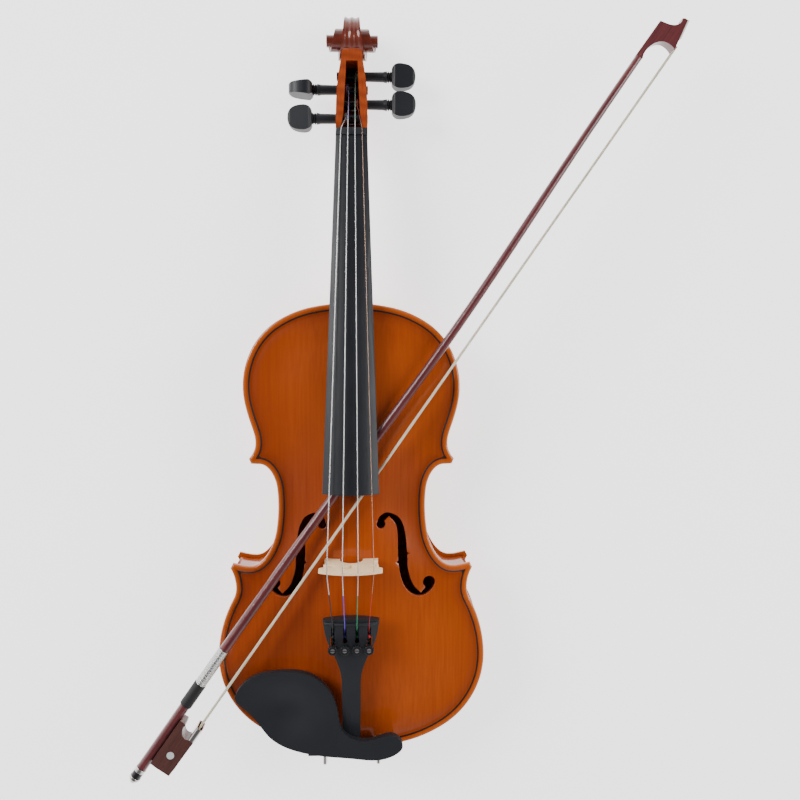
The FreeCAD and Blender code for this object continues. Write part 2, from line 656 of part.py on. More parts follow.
def make_bridge(parts):
    top = Z_TOP + BRIDGE_HEIGHT
    h = BRIDGE_HEIGHT
    corner = top - crown_of(47.6)
    half = [(20.5, -6), (20.5, 3.0), (18.2, 4.6), (17.0, 7.4), (17.8, 10.6), (20.8, 13.6), (19.6, 15.4),
            (16.4, 15.6), (15.2, 17.4), (16.6, 19.4), (21.0, 19.8), (23.8, 21.6)]
    z0 = Z_TOP
    right = [V(x, 0, z0 + z) for x, z in half] + [V(23.8, 0, corner)]
    left = [V(-p.x, 0, p.z) for p in reversed(right)]
    arc = Part.Arc(right[-1], V(0, 0, top), left[0]).toShape()
    edges = [Part.makeLine(a, b) for a, b in zip(right, right[1:])]
    edges += [arc] + [Part.makeLine(a, b) for a, b in zip(left, left[1:])]
    edges.append(Part.makeLine(left[-1], right[0]))
    blank = Part.Face(Part.Wire(edges)).extrude(V(0, 8, 0))
    blank.translate(V(0, -4, 0))
    arch_cut = rod(V(0, -6, z0 + 1.6), V(0, 6, z0 + 1.6), 9.0)
    legs = box(-8.4, 8.4, -6, 6, z0 - 10, z0 + 3.0)
    heart = [rod(V(s * 3.1, -6, z0 + 20.6), V(s * 3.1, 6, z0 + 20.6), 3.6) for s in (-1, 1)]
    drop = polygon([V(-6.3, -6, z0 + 19.0), V(6.3, -6, z0 + 19.0), V(0, -6, z0 + 12.8)])
    kidneys = []
    for s in (-1, 1):
        kidneys.append(rod(V(s * 14.6, -6, z0 + 17.5), V(s * 14.6, 6, z0 + 17.5), 2.9))
    cut = fuse([arch_cut, legs] + heart + [drop.extrude(V(0, 12, 0))] + kidneys)
    blank = blank.cut(cut)
    wedge = side_prism([(-2.2, z0 - 10), (2.2, z0 - 10), (2.2, z0 + 3), (0.75, z0 + h + 1), (-0.75, z0 + h + 1),
                        (-2.2, z0 + 3)], -30, 30)
    bridge = blank.common(wedge)
    bridge.translate(V(0, BRIDGE_Y, 0))
    bridge = bridge.cut(parts["belly"].common(box(-30, 30, BRIDGE_Y - 6, BRIDGE_Y + 6, 40, 70)))
    solids = sorted(bridge.Solids, key=lambda s: s.Volume)
    bridge = solids[-1].cut(box(-30, 30, BRIDGE_Y - 6, BRIDGE_Y + 6, 30, Z_BELLY + 8))
    for name in COURSES:
        bridge = bridge.cut(string_groove(name, 2, 4))
    parts["bridge"] = bridge


# ---- tailpiece, fine tuners, tailgut, endpin ----------------------------------------------

def tail_half_width(y):
    w = TAILPIECE_WIDTH / 2.0
    stations = [(14, 6.6), (33, 7.0), (60, 7.2), (73, 8.4), (81, 11.0), (88.5, 14.2), (96, 17.8),
                (104, 20.0), (TAILPIECE_TOP_Y, w)]
    for (ya, wa), (yb, wb) in zip(stations, stations[1:]):
        if y <= yb:
            return wa + (wb - wa) * (y - ya) / (yb - ya)
    return w


def tail_saddle_z(x):
    return tail_top(TAILPIECE_TOP_Y - 2.3) + 1.3 - crown_of(2.0 * abs(x)) * 0.75


def make_tailpiece(parts):
    ys = [TAILPIECE_END_Y, 33, 60, 73, 81, 88.5, 96, 104, TAILPIECE_TOP_Y]
    right = [V(tail_half_width(y), y, 0) for y in ys]
    left = [V(-p.x, p.y, 0) for p in reversed(right)]
    a = smooth(right)
    b = Part.Arc(right[-1], V(0, TAILPIECE_TOP_Y + 2.2, 0), left[0]).toShape()
    c = smooth(left)
    d = Part.Arc(left[-1], V(0, TAILPIECE_END_Y - 2.0, 0), right[0]).toShape()
    plan = Part.Face(Part.Wire([a, b, c, d])).extrude(V(0, 0, 100))
    y0, y1 = TAILPIECE_END_Y - 4, TAILPIECE_TOP_Y + 4
    lo = [(y0, tail_top(y0) - 4.6), (74, tail_top(74) - 5.4), (86, tail_top(86) - 9.2), (y1, tail_top(y1) - 9.6)]
    hi = [(y1, tail_top(y1) + 8), (y0, tail_top(y0) + 8)]
    slab = side_prism(lo + hi, -30, 30)
    round_top = []
    for y in (y0, y1):
        z = tail_top(y)
        p = [V(-24, y, z - 5.6), V(-24, y, z - 30), V(24, y, z - 30), V(24, y, z - 5.6)]
        lines = [Part.makeLine(m, n) for m, n in zip(p, p[1:])]
        round_top.append(Part.Wire(lines + [Part.Arc(p[3], V(0, y, z), p[0]).toShape()]))
    body = plan.common(slab).common(Part.makeLoft(round_top, True, True))
    ridge = Part.makeTorus(BOARD_RADIUS * 1.3, 1.1, V(0, TAILPIECE_TOP_Y - 2.3, 0), V(0, 1, 0), 0, 360, 360)
    ridge.translate(V(0, 0, tail_top(TAILPIECE_TOP_Y - 2.3) + 0.2 - BOARD_RADIUS * 1.3))
    ridge = ridge.common(box(-20, 20, 100, 130, 60, 100))
    body = fuse([body, ridge])
    cuts = []
    for name in COURSES:
        x = course_x(name, STRING_SPAN_TAIL)
        cuts.append(box(x - 1.2, x + 1.2, 98.5, 109.3, 60, 90))
        cuts.append(Part.makeCylinder(1.9, 30, V(x, 98.5, 60)))
        cuts.append(box(x - 2.3, x + 2.3, 88.0, 109.8, 60, 74.6))
        cuts.append(Part.makeCylinder(1.62, 30, V(x, 92.6, 60)))
    cuts.append(rod(V(-17.6, 106.6, 70.6), V(17.6, 106.6, 70.6), 0.9))
    for s in (-1, 1):
        cuts.append(rod(V(s * 3.5, 10, 60.6), V(s * 3.5, 25, 60.6 + 2.2), 0.95))
    for cut in cuts:
        body = body.cut(cut)
    for name in COURSES:
        body = body.cut(string_groove(name, 3, 5))
    parts["tailpiece"] = largest(body)
    parts["tuner_hinge_pin"] = rod(V(-17.6, 106.6, 70.6), V(17.6, 106.6, 70.6), 0.9)


def make_tuner(name, parts):
    """Bell-crank lever on the hinge pin with a forked short arm, and its knurled screw."""
    x = course_x(name, STRING_SPAN_TAIL)
    arm = side_prism([(107.6, 69.0), (107.6, 70.6), (92.0, 69.8), (90.2, 69.2), (90.2, 68.5), (92.0, 68.2)],
                     x - 1.6, x + 1.6)
    eye = rod(V(x - 1.6, 106.6, 70.6), V(x + 1.6, 106.6, 70.6), 2.3)
    fork = side_prism([(104.3, 70.0), (107.4, 70.6), (105.6, 74.1), (103.9, 74.1)], x - 1.6, x + 1.6)
    lever = fuse([arm, eye, fork])
    lever = lever.cut(rod(V(x - 3, 106.6, 70.6), V(x + 3, 106.6, 70.6), 0.98))
    lever = lever.cut(box(x - 0.8, x + 0.8, 100, 110, 72.0, 76))
    parts["tuner_lever_" + name] = lever
    z = tail_top(92.6)
    shank = Part.makeCylinder(1.3, z + 3.0 - 70.6, V(x, 92.6, 70.6))
    tip = ball(V(x, 92.6, 70.9), 0.7)
    head = Part.makeCylinder(3.6, 4.2, V(x, 92.6, z + 1.0))
    grooves = []
    for k in range(12):
        a = 2 * math.pi * k / 12.0
        grooves.append(Part.makeCylinder(0.5, 6, V(x + 3.75 * math.cos(a), 92.6 + 3.75 * math.sin(a), z)))
    head = head.makeFillet(0.5, [head.Edges[0], head.Edges[2]])
    head = head.cut(fuse(grooves))
    parts["tuner_screw_" + name] = fuse([shank, tip, head])


def make_endpin(parts):
    z = ENDPIN_Z
    shaft = rod(V(0, 2.8, z), V(0, 22, z), 3.9, 3.3)
    collar = rod(V(0, -0.4, z), V(0, 2.8, z), 6.75)
    groove = rod(V(0, -6.2, z), V(0, -0.4, z), 4.1)
    flare = rod(V(0, -7.4, z), V(0, -6.2, z), 6.75, 5.0)
    knob = rod(V(0, -11.8, z), V(0, -7.4, z), 6.75)
    button = rod(V(0, -13.4, z), V(0, -11.8, z), 4.6, 6.0)
    parts["endpin"] = fuse([shaft, collar, groove, flare, knob, button])


def make_tailgut(parts):
    z = ENDPIN_Z
    loop = Part.makeTorus(5.1, 0.9, V(0, -3.3, z), V(0, 1, 0))
    loop = loop.common(box(-9, 9, -9, 3, z - 9, z))
    shapes = [loop]
    for s in (-1, 1):
        path = [V(s * 3.5, 24.5, 62.75), V(s * 3.5, 10, 60.6), V(s * 3.5, 7.0, 59.9), V(s * 3.5, 2.6, 59.6),
                V(s * 3.7, -1.6, 57.0), V(s * 5.1, -3.3, z + 1.5), V(s * 5.1, -3.3, z)]
        shapes.append(cord(path, 0.9))
    parts["tailgut"] = fuse(shapes).cut(parts["saddle"]).cut(parts["endpin"])


# ---- chin rest ---------------------------------------------------------------------------

def rest_top(x, y):
    """Top of the chin rest: a shallow cup left of the tailpiece and a level bar over its end."""
    cup = math.exp(-((x + 50.0) / 27.0) ** 2 - ((y - 40.0) / 20.0) ** 2)
    ease = 1.0 / (1.0 + math.exp((x + 22.0) / 7.0))
    return 71.3 - 1.6 * ease - 6.0 * cup * ease


def make_chinrest(parts):
    key = [(-88.9, 54), (-75, 67.9), (-55.7, 71.6), (-32.1, 69.1), (-19.2, 59.5), (-10.9, 41.5),
           (-6.6, 24.5), (1, 18.7), (18.6, 18.1), (33.8, 20.4), (39.9, 12.7), (30.6, 3.8), (2.3, 2.7),
           (-30.3, 5.8), (-62.6, 18.6), (-81.7, 41.3)]
    edge = smooth([V(x, y, 40) for x, y in key], True)
    prism = Part.Face(Part.Wire([edge])).extrude(V(0, 0, 60))
    shells = []
    for drop in (0.0, 5.8):
        grid = [[V(-100 + 6 * i, -8 + 6 * j, rest_top(-100 + 6 * i, -8 + 6 * j) - drop)
                 for j in range(16)] for i in range(26)]
        surface = Part.BSplineSurface()
        surface.interpolate(grid)
        shells.append(surface.toShape().extrude(V(0, 0, -30)))
    plate_body = prism.common(shells[0].cut(shells[1]))
    feet = []
    for s in (-1, 1):
        feet.append(box(s * 25.6 - 8.0, s * 25.6 + 8.0, 3.6, 10.6, 52.3, 67.5))
    plate_body = fuse([plate_body] + feet)
    corks = []
    for s in (-1, 1):
        corks.append(box(s * 25.6 - 8.0, s * 25.6 + 8.0, 3.6, 10.6, 48.5, 52.3).cut(parts["belly"]))
    cork = Part.makeCompound([c.Solids[-1] for c in corks])
    hooks = []
    for s in (-1, 1):
        hooks.append(cord([V(s * 21, -6, 35.0), V(s * 21, -6, 60.0), V(s * 21, 8.4, 60.0)], 1.7))
        plate_body = plate_body.cut(hooks[-1])
    parts["chinrest_plate"] = largest(plate_body)
    parts["chinrest_corks"] = cork.cut(parts["purfling_belly"])
    parts["chinrest_hooks"] = Part.makeCompound(hooks)
    for s, name in ((-1, "bass"), (1, "treble")):
        barrel = Part.makeCylinder(3.4, 24, V(s * 21, -6, 17)).cut(Part.makeCylinder(2.06, 24, V(s * 21, -6, 17)))
        for a in (0, 90):
            key_hole = rod(V(-5, 0, 29), V(5, 0, 29), 1.1)
            key_hole.rotate(V(0, 0, 0), V(0, 0, 1), a)
            key_hole.translate(V(s * 21, -6, 0))
            barrel = barrel.cut(key_hole)
        parts["chinrest_barrel_" + name] = barrel
    foot = [cord([V(s * 21, -6, 23.0), V(s * 21, -6, 6.4), V(s * 21, 3.0, 6.4)], 1.7) for s in (-1, 1)]
    foot.append(box(-27, 27, 1.4, 6.8, 5.4, 7.4))
    parts["chinrest_foot"] = fuse(foot)
    parts["chinrest_foot_cork"] = box(-27, 27, 1.4, 6.8, 7.4, 10.35).cut(parts["chinrest_foot"])


# ---- bow ---------------------------------------------------------------------------------

def bow_place(shape):
    """From bow axes (x along the stick, hair at -y, lying flat) to its place across the violin."""
    out = shape.copy()
    out.rotate(V(0, 0, 0), V(0, 1, 0), BOW_DIP)
    out.rotate(V(0, 0, 0), V(0, 0, 1), BOW_ANGLE)
    out.translate(V(-170.5, -9.5, 72.65))
    return out


def stick_y(u):
    """Camber: distance of the stick's centre line from the button axis, towards the hair."""
    s = u / BOW_LENGTH
    return -(3.4 + 4.6 * math.exp(-((s - 0.60) / 0.20) ** 2))


def stick_radius(u):
    t = min(max((u - 110.0) / (BOW_LENGTH - 140.0), 0.0), 1.0)
    return (BOW_DIAMETER + (BOW_TIP_DIAMETER - BOW_DIAMETER) * t) / 2.0


def bow_sections(u0, u1, count, grow):
    wires = []
    for k in range(count + 1):
        u = u0 + (u1 - u0) * k / count
        wires.append(Part.Wire([Part.makeCircle(stick_radius(u) + grow, V(u, stick_y(u), 0), V(1, 0, 0))]))
    return wires


def bow_head():
    """Hatchet head: straight top, hollow front rising to a beak, hollow back, tapered towards the top."""
    end = BOW_LENGTH
    y = stick_y(end - 30) + 2.7
    front = smooth([V(end - 11.5, y - 0.2, 0), V(end - 10.6, -5.5, 0), V(end - 8.4, -11.6, 0),
                    V(end - 4.8, -14.2, 0), V(end - 1.0, -13.6, 0)])
    back = smooth([V(end - 23.5, -22.0, 0), V(end - 22.4, -16.6, 0), V(end - 23.4, -11.6, 0),
                   V(end - 27.5, -7.4, 0), V(end - 42, y - 5.4, 0)])
    tip = [V(end - 1.0, -13.6, 0), V(end, -15.2, 0), V(end, -17.6, 0), V(end - 23.5, -22.0, 0)]
    edges = [Part.makeLine(V(end - 42, y, 0), V(end - 11.5, y - 0.2, 0)), front]
    edges += [Part.makeLine(m, n) for m, n in zip(tip, tip[1:])]
    edges += [back, Part.makeLine(V(end - 42, y - 5.4, 0), V(end - 42, y, 0))]
    body = Part.Face(Part.Wire(edges)).extrude(V(0, 0, 14))
    body.translate(V(0, 0, -7))
    ridge = [V(0, y + 1, -2.2), V(0, y + 1, 2.2), V(0, -24, 5.3), V(0, -24, -5.3)]
    wedge = polygon(ridge).extrude(V(60, 0, 0))
    wedge.translate(V(end - 50, 0, 0))
    return body.common(wedge)


def make_bow_stick(parts):
    stick = Part.makeLoft(bow_sections(13.0, BOW_LENGTH - 40.0, 14, 0.0), True, False)
    stick = fuse([stick, bow_head()])
    axis = stick_y(0)
    stick = stick.cut(rod(V(5, axis, 0), V(62, axis, 0), 1.75))
    stick = stick.cut(box(27, 52, axis - 9, axis + 3.0, -2.3, 2.3))
    end = BOW_LENGTH
    stick = stick.cut(box(end - 20.5, end - 14.5, -25, -15.5, -3.9, 3.9))
    parts["bow_stick"] = stick
    edge = V(-23.5, -4.4, 0)
    out = V(4.4, -23.5, 0)
    out.normalize()
    p = V(end, -17.6, 0)
    slab = polygon([p, p + edge * 0.60, p + edge * 0.60 + out * 1.2, p + out * 1.2 - edge * 0.02])
    tip = slab.extrude(V(0, 0, 9.2))
    tip.translate(V(0, 0, -4.6))
    parts["bow_tip_plate"] = tip
    hair = box(57.5, end - 15.0, -BOW_HAIR_DROP - 0.7, -BOW_HAIR_DROP + 0.7, -3.6, 3.6)
    root = box(end - 20.0, end - 15.0, -BOW_HAIR_DROP, -16.2, -3.6, 3.6)
    parts["bow_hair"] = fuse([hair, root]).cut(stick)
    parts["bow_winding"] = Part.makeLoft(bow_sections(92.0, 124.0, 3, 0.45), True, False).cut(stick)
    parts["bow_grip"] = Part.makeLoft(bow_sections(72.0, 92.0, 2, 0.8), True, False).cut(stick)


def make_frog(parts):
    top = stick_y(0) - 3.2
    a = [V(22.1, top, 0), V(22.1, -23.6, 0), V(53.6, -24.4, 0), V(53.6, -19.9, 0)]
    lines = [Part.makeLine(m, n) for m, n in zip(a, a[1:])]
    throat = smooth([V(53.6, -19.9, 0), V(52.8, -17.0, 0), V(54.6, -13.6, 0), V(61.4, -11.9, 0)])
    nose = [V(61.4, -11.9, 0), V(62.4, -11.0, 0), V(62.4, top, 0), V(22.1, top, 0)]
    lines2 = [Part.makeLine(m, n) for m, n in zip(nose, nose[1:])]
    frog = Part.Face(Part.Wire(lines + [throat] + lines2)).extrude(V(0, 0, 13))
    frog.translate(V(0, 0, -6.5))
    frog = frog.cut(Part.makeLoft(bow_sections(13.0, 70.0, 2, 0.36), True, False))
    taper = [V(0, 0, -4.9), V(0, 0, 4.9), V(0, -12, 6.5), V(0, -26, 6.5), V(0, -26, -6.5), V(0, -12, -6.5)]
    frog = frog.common(polygon(taper).extrude(V(90, 0, 0)))
    frog = frog.cut(box(49.0, 60, -24.0, -20.6, -5.4, 5.4))
    eyes = [Part.makeCylinder(2.9, 0.8, V(36.0, -15.6, s * 6.5 - (0.8 if s > 0 else 0.0))) for s in (-1, 1)]
    slide = box(26, 49, -24.9, -23.0, -4.0, 4.0)
    for piece in eyes + [slide]:
        frog = frog.cut(piece)
    shaft = box(35.0, 39.0, -13.5, stick_y(0) + 2.5, -1.9, 1.9)
    shaft = shaft.cut(rod(V(30, stick_y(0), 0), V(45, stick_y(0), 0), 1.6))
    frog = frog.cut(box(35.0, 39.0, -13.5, 0, -1.9, 1.9))
    parts["bow_eyelet"] = largest(shaft)
    parts["bow_frog"] = largest(frog)
    parts["bow_pearl_inlays"] = Part.makeCompound(eyes + [slide.common(box(20, 60, -24.3, -20, -9, 9))])
    ferrule = box(53.6, 65.0, -24.9, -19.7, -6.9, 6.9)
    ferrule = ferrule.makeFillet(2.0, [e for e in ferrule.Edges if abs(e.BoundBox.XLength) > 5])
    ferrule = ferrule.cut(box(50, 70, -24.2, -20.4, -6.2, 6.2))
    parts["bow_ferrule"] = ferrule


def make_bow_screw(parts):
    axis = stick_y(0)
    parts["bow_screw"] = rod(V(6.0, axis, 0), V(60.0, axis, 0), 1.3)
    barrel = rod(V(3.4, axis, 0), V(12.7, axis, 0), 4.0)
    cap = rod(V(0, axis, 0), V(3.4, axis, 0), 2.6, 4.3)
    rim = rod(V(9.6, axis, 0), V(12.7, axis, 0), 4.4)
    band = rod(V(2.6, axis, 0), V(4.6, axis, 0), 4.4)
    parts["bow_button"] = fuse([barrel, cap, rim, band]).cut(parts["bow_screw"])


# ---- build and save ----------------------------------------------------------------------

def build():
    parts = {}
    make_endpin(parts)
    make_fingerboard(parts)
    make_nut(parts)
    make_neck(parts)
    for name in COURSES:
        make_peg(name, parts)
        make_string(name, parts)
    make_belly(parts)
    make_back(parts)
    make_ribs(parts)
    make_blocks(parts)
    make_bass_bar(parts)
    make_sound_post(parts)
    make_bridge(parts)
    make_tailpiece(parts)
    for name in COURSES:
        make_tuner(name, parts)
    make_tailgut(parts)
    make_chinrest(parts)
    bow = {}
    make_bow_stick(bow)
    make_frog(bow)
    make_bow_screw(bow)
    for name in bow:
        parts[name] = bow_place(bow[name])
    return parts


def save(parts):
    os.makedirs("parts", exist_ok=True)
    for name in sorted(parts):
        shape = parts[name].copy()
        shape.translate(V(0, -Y_MID, 0))
        solids = shape.Solids
        bad = [s for s in solids if not s.isValid()]
        print(name, len(solids), "solids", round(sum(s.Volume for s in solids), 1), "bad" if bad else "")
        if len(solids) == 1:
            solids[0].exportStep("parts/" + name + ".step")
        else:
            Part.makeCompound(solids).exportStep("parts/" + name + ".step")


save(build())
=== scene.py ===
"""Violin with its bow: the visible pieces, their finishes, and the stage they lie on."""
import json
import math

import bmesh
import bpy
import numpy as np
from mathutils import Euler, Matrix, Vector
from mathutils.geometry import delaunay_2d_cdt


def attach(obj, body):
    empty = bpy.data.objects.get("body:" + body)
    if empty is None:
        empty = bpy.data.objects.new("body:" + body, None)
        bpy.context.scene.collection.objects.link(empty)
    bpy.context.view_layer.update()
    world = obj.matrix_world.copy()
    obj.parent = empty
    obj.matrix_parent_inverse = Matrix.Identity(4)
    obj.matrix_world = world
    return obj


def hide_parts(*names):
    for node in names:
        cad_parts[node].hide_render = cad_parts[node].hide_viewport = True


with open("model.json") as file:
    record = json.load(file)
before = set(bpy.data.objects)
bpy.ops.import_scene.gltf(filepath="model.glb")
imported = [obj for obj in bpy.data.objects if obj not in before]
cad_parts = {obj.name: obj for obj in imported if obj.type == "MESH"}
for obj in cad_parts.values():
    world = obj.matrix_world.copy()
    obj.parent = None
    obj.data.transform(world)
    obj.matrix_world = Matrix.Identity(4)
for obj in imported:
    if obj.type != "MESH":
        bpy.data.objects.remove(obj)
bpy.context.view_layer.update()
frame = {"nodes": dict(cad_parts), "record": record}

bl_info = {
    "name": "Violin pieces",
    "version": (1, 0, 0),
    "blender": (4, 5, 0),
    "location": "3D View > Sidebar > Violin",
    "description": "Builds the visible pieces and finishes of a violin and its bow",
    "category": "Add Mesh",
}

MM = 0.001
HALF_BODY = 177.5
BOW_DIP = 1.49
BOW_ANGLE = 55.16
NECK_CUT_Y = 549.5
GLUE_BACK = 15.0
GLUE_BELLY = 46.0
COURSES = ("g", "d", "a", "e")


# ---------------------------------------------------------------- small mesh tools

def collect(name, vertices, faces, material, smooth_angle=40.0):
    """A mesh object from arrays of points in millimetres (body frame) and faces."""
    points = np.asarray(vertices, float).copy()
    points[:, 1] -= HALF_BODY
    mesh = bpy.data.meshes.new(name)
    mesh.from_pydata((points * MM).tolist(), [], [list(map(int, f)) for f in faces])
    mesh.validate()
    mesh.update()
    item = bpy.data.objects.new(name, mesh)
    bpy.context.scene.collection.objects.link(item)
    mesh.materials.append(material)
    mesh.shade_smooth()
    mesh.set_sharp_from_angle(angle=math.radians(smooth_angle))
    return item


def strip_faces(rows, columns, wrap_rows, wrap_columns, start=0):
    """Quads of a rows-by-columns grid of points, wrapped in either direction."""
    r = np.arange(rows if wrap_rows else rows - 1)
    c = np.arange(columns if wrap_columns else columns - 1)
    a, b = np.meshgrid(r, c, indexing="ij")
    a2, b2 = (a + 1) % rows, (b + 1) % columns
    quads = np.stack([a * columns + b, a * columns + b2, a2 * columns + b2, a2 * columns + b], -1)
    return quads.reshape(-1, 4) + start


def join_parts(parts):
    """Stacks (points, faces) pairs into one pair, shifting the face indices."""
    points, faces, base = [], [], 0
    for p, f in parts:
        points.append(np.asarray(p, float).reshape(-1, 3))
        faces += [[i + base for i in face] for face in np.asarray(f).tolist()] if not isinstance(f, list) \
            else [[i + base for i in face] for face in f]
        base += len(points[-1])
    return np.concatenate(points), faces


def lathe(profile, origin, axis, side, segments=40):
    """A profile of (distance along axis, radius) turned once round the axis through origin.

    Point = origin + axis * distance + radius * (cos a * side + sin a * (axis x side)).
    The first and last rings are closed with a flat cap.
    """
    axis = np.asarray(axis, float)
    side = np.asarray(side, float)
    up = np.cross(axis, side)
    prof = np.asarray(profile, float)
    a = np.linspace(0, 2 * np.pi, segments, endpoint=False)
    ring = np.cos(a)[:, None] * side + np.sin(a)[:, None] * up
    points = (np.asarray(origin, float) + prof[:, 0, None, None] * axis
              + prof[:, 1, None, None] * ring[None])
    faces = strip_faces(len(prof), segments, False, True).tolist()
    faces = [f[::-1] for f in faces]
    faces.append(list(range(segments)))
    faces.append(list(range((len(prof) - 1) * segments, len(prof) * segments))[::-1])
    return points.reshape(-1, 3), [f[::-1] for f in faces]


def through(points, per=8, closed=False):
    """A smooth curve through the points: centripetal-free Catmull-Rom cubic between neighbours."""
    p = np.asarray(points, float)
    if closed:
        q = np.concatenate([p[-1:], p, p[:2]])
    else:
        q = np.concatenate([2 * p[:1] - p[1:2], p, 2 * p[-1:] - p[-2:-1]])
    t = np.linspace(0, 1, per, endpoint=False)[:, None]
    out = []
    for a, b, c, d in zip(q, q[1:], q[2:], q[3:]):
        out.append(0.5 * (2 * b + (c - a) * t + (2 * a - 5 * b + 4 * c - d) * t ** 2
                          + (3 * b - a - 3 * c + d) * t ** 3))
    line = np.concatenate(out)
    return line if closed else np.concatenate([line, p[-1:]])


def refined(node, material, bevel=0.0, angle=35.0, name=None, weld=2e-6, segments=2):
    """A finished copy of a frame piece: merged, smooth between its real edges, edges eased."""
    source = frame["nodes"][node]
    mesh = source.data.copy()
    item = bpy.data.objects.new(name or node + "_finished", mesh)
    bpy.context.scene.collection.objects.link(item)
    work = bmesh.new()
    work.from_mesh(mesh)
    bmesh.ops.remove_doubles(work, verts=work.verts, dist=weld)
    bmesh.ops.dissolve_degenerate(work, dist=weld * 0.5, edges=work.edges)
    if bevel > 0:
        bmesh.ops.dissolve_limit(work, angle_limit=math.radians(1.0), verts=work.verts, edges=work.edges)
    work.to_mesh(mesh)
    work.free()
    mesh.materials.clear()
    mesh.materials.append(material)
    mesh.shade_smooth()
    mesh.set_sharp_from_angle(angle=math.radians(angle))
    if bevel > 0:
        ease_edges(item, bevel, angle, segments)
    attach(item, BODY_OF[node])
    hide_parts(node)
    return item


def ease_edges(item, width, angle, segments):
    """Rounds the edges that turn by more than the angle."""
    ease = item.modifiers.new("eased edges", "BEVEL")
    ease.width = width * MM
    ease.segments = segments
    ease.limit_method = "ANGLE"
    ease.angle_limit = math.radians(angle)
    ease.harden_normals = True


BODY_OF = {n: b for b, ns in frame["record"]["behaviour"]["bodies"].items() for n in ns}


def finish_node(node, material):
    """Gives a frame piece its material."""
    item = frame["nodes"][node]
    if item.material_slots:
        for s in item.material_slots:
            s.link = "OBJECT"
            s.material = material
    else:
        item.data.materials.append(material)


def carry(item, body, *nodes, finish=None):
    """The piece rides on a body and stands for the nodes, which are hidden; the finish argument is not used."""
    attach(item, body)
    if nodes:
        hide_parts(*nodes)
    return item


# ---------------------------------------------------------------- outlines

def tangent_arcs(p0, h0, p1, h1, step):
    """Two arcs from p0 to p1 with the given headings and a shared tangent, as points and normals."""
    p0, p1 = np.array(p0, float), np.array(p1, float)
    t0 = np.array([math.cos(math.radians(h0)), math.sin(math.radians(h0))])
    t1 = np.array([math.cos(math.radians(h1)), math.sin(math.radians(h1))])
    v, t = p1 - p0, t0 + t1
    k = 2 * (1 - t0 @ t1)
    d = v @ v / (4 * (v @ t1)) if abs(k) < 1e-9 else (-(v @ t) + math.sqrt((v @ t) ** 2 + k * (v @ v))) / k
    m = (p0 + t0 * d + p1 - t1 * d) / 2
    a = one_arc(p0, t0, m, step)
    b = one_arc(p1, -t1, m, step)
    return [a, (b[0][::-1], -b[1][::-1])]


def one_arc(a, ta, b, step):
    """Arc from a with tangent ta to b: points and left-hand normals."""
    n = np.array([-ta[1], ta[0]])
    c = b - a
    sag = 2 * (n @ c)
    count = max(int(np.linalg.norm(c) / step) + 2, 3)
    s = np.linspace(0, 1, count)[:, None]
    if abs(sag) < 1e-6:
        return a + c * s, np.repeat(n[None], count, 0)
    r = (c @ c) / sag
    o = a + n * r
    turn = 2 * math.atan2(ta[0] * c[1] - ta[1] * c[0], ta @ c)
    ang = turn * s[:, 0]
    rel = a - o
    pts = o + np.stack([rel[0] * np.cos(ang) - rel[1] * np.sin(ang),
                        rel[0] * np.sin(ang) + rel[1] * np.cos(ang)], -1)
    tan = np.stack([ta[0] * np.cos(ang) - ta[1] * np.sin(ang), ta[0] * np.sin(ang) + ta[1] * np.cos(ang)], -1)
    return pts, np.stack([-tan[:, 1], tan[:, 0]], -1)


LOWER = [(0, 0, 0), (74.9, 19.2, 34), (105.3, 76, 90), (97, 115, 113.5), (91.1, 131.5, 90),
         (95.3, 147.5, 60.6)]
MIDDLE = [(93.3, 151.3, 194), (80, 149, 180), (65.8, 159.2, 121), (57.5, 198, 90), (62, 222.5, 61),
          (72, 229.9, 2), (78.3, 230.2, 5)]
UPPER = [(80, 234.4, 135.8), (74.8, 246.5, 90), (78.4, 261.8, 71), (84.1, 290.5, 90), (58, 340.5, 147),
         (0, 355, 180)]


def body_outline(step):
    """Closed outline of the plates: arcs through the key points of one side, then its mirror image."""
    pts, nor = [], []
    last = None
    for run in (LOWER, MIDDLE, UPPER):
        if last is not None:
            a, b = np.array(last[:2], float), np.array(run[0][:2], float)
            t = (b - a) / np.linalg.norm(b - a)
            s = np.linspace(0, 1, max(int(np.linalg.norm(b - a) / step) + 2, 4))[:, None]
            pts.append(a + (b - a) * s)
            nor.append(np.repeat(np.array([[-t[1], t[0]]]), len(s), 0))
        for p, q in zip(run, run[1:]):
            for pp, nn in tangent_arcs(p[:2], p[2], q[:2], q[2], step):
                pts.append(pp)
                nor.append(nn)
        last = run[-1]
    p, n = np.concatenate(pts), np.concatenate(nor)
    return (np.concatenate([p, (p * [-1, 1])[::-1]]), np.concatenate([n, (n * [-1, 1])[::-1]]))


def loop_normals(loop):
    """Inward normals of a closed anticlockwise loop by central differences."""
    t = np.roll(loop, -1, 0) - np.roll(loop, 1, 0)
    t /= np.linalg.norm(t, axis=1)[:, None] + 1e-12
    return np.stack([-t[:, 1], t[:, 0]], -1)


def distance_to(points, loop):
    """Distance from each point to the nearest segment of a closed loop."""
    a = loop
    d = np.roll(loop, -1, 0) - a
    keep = (d ** 2).sum(1) > 1e-12
    a, d = a[keep], d[keep]
    out = np.empty(len(points))
    for i in range(0, len(points), 800):
        w = points[i:i + 800, None] - a[None]
        t = np.clip((w * d).sum(-1) / (d ** 2).sum(-1), 0, 1)
        out[i:i + 800] = np.sqrt(((w - d * t[..., None]) ** 2).sum(-1).min(1))
    return out


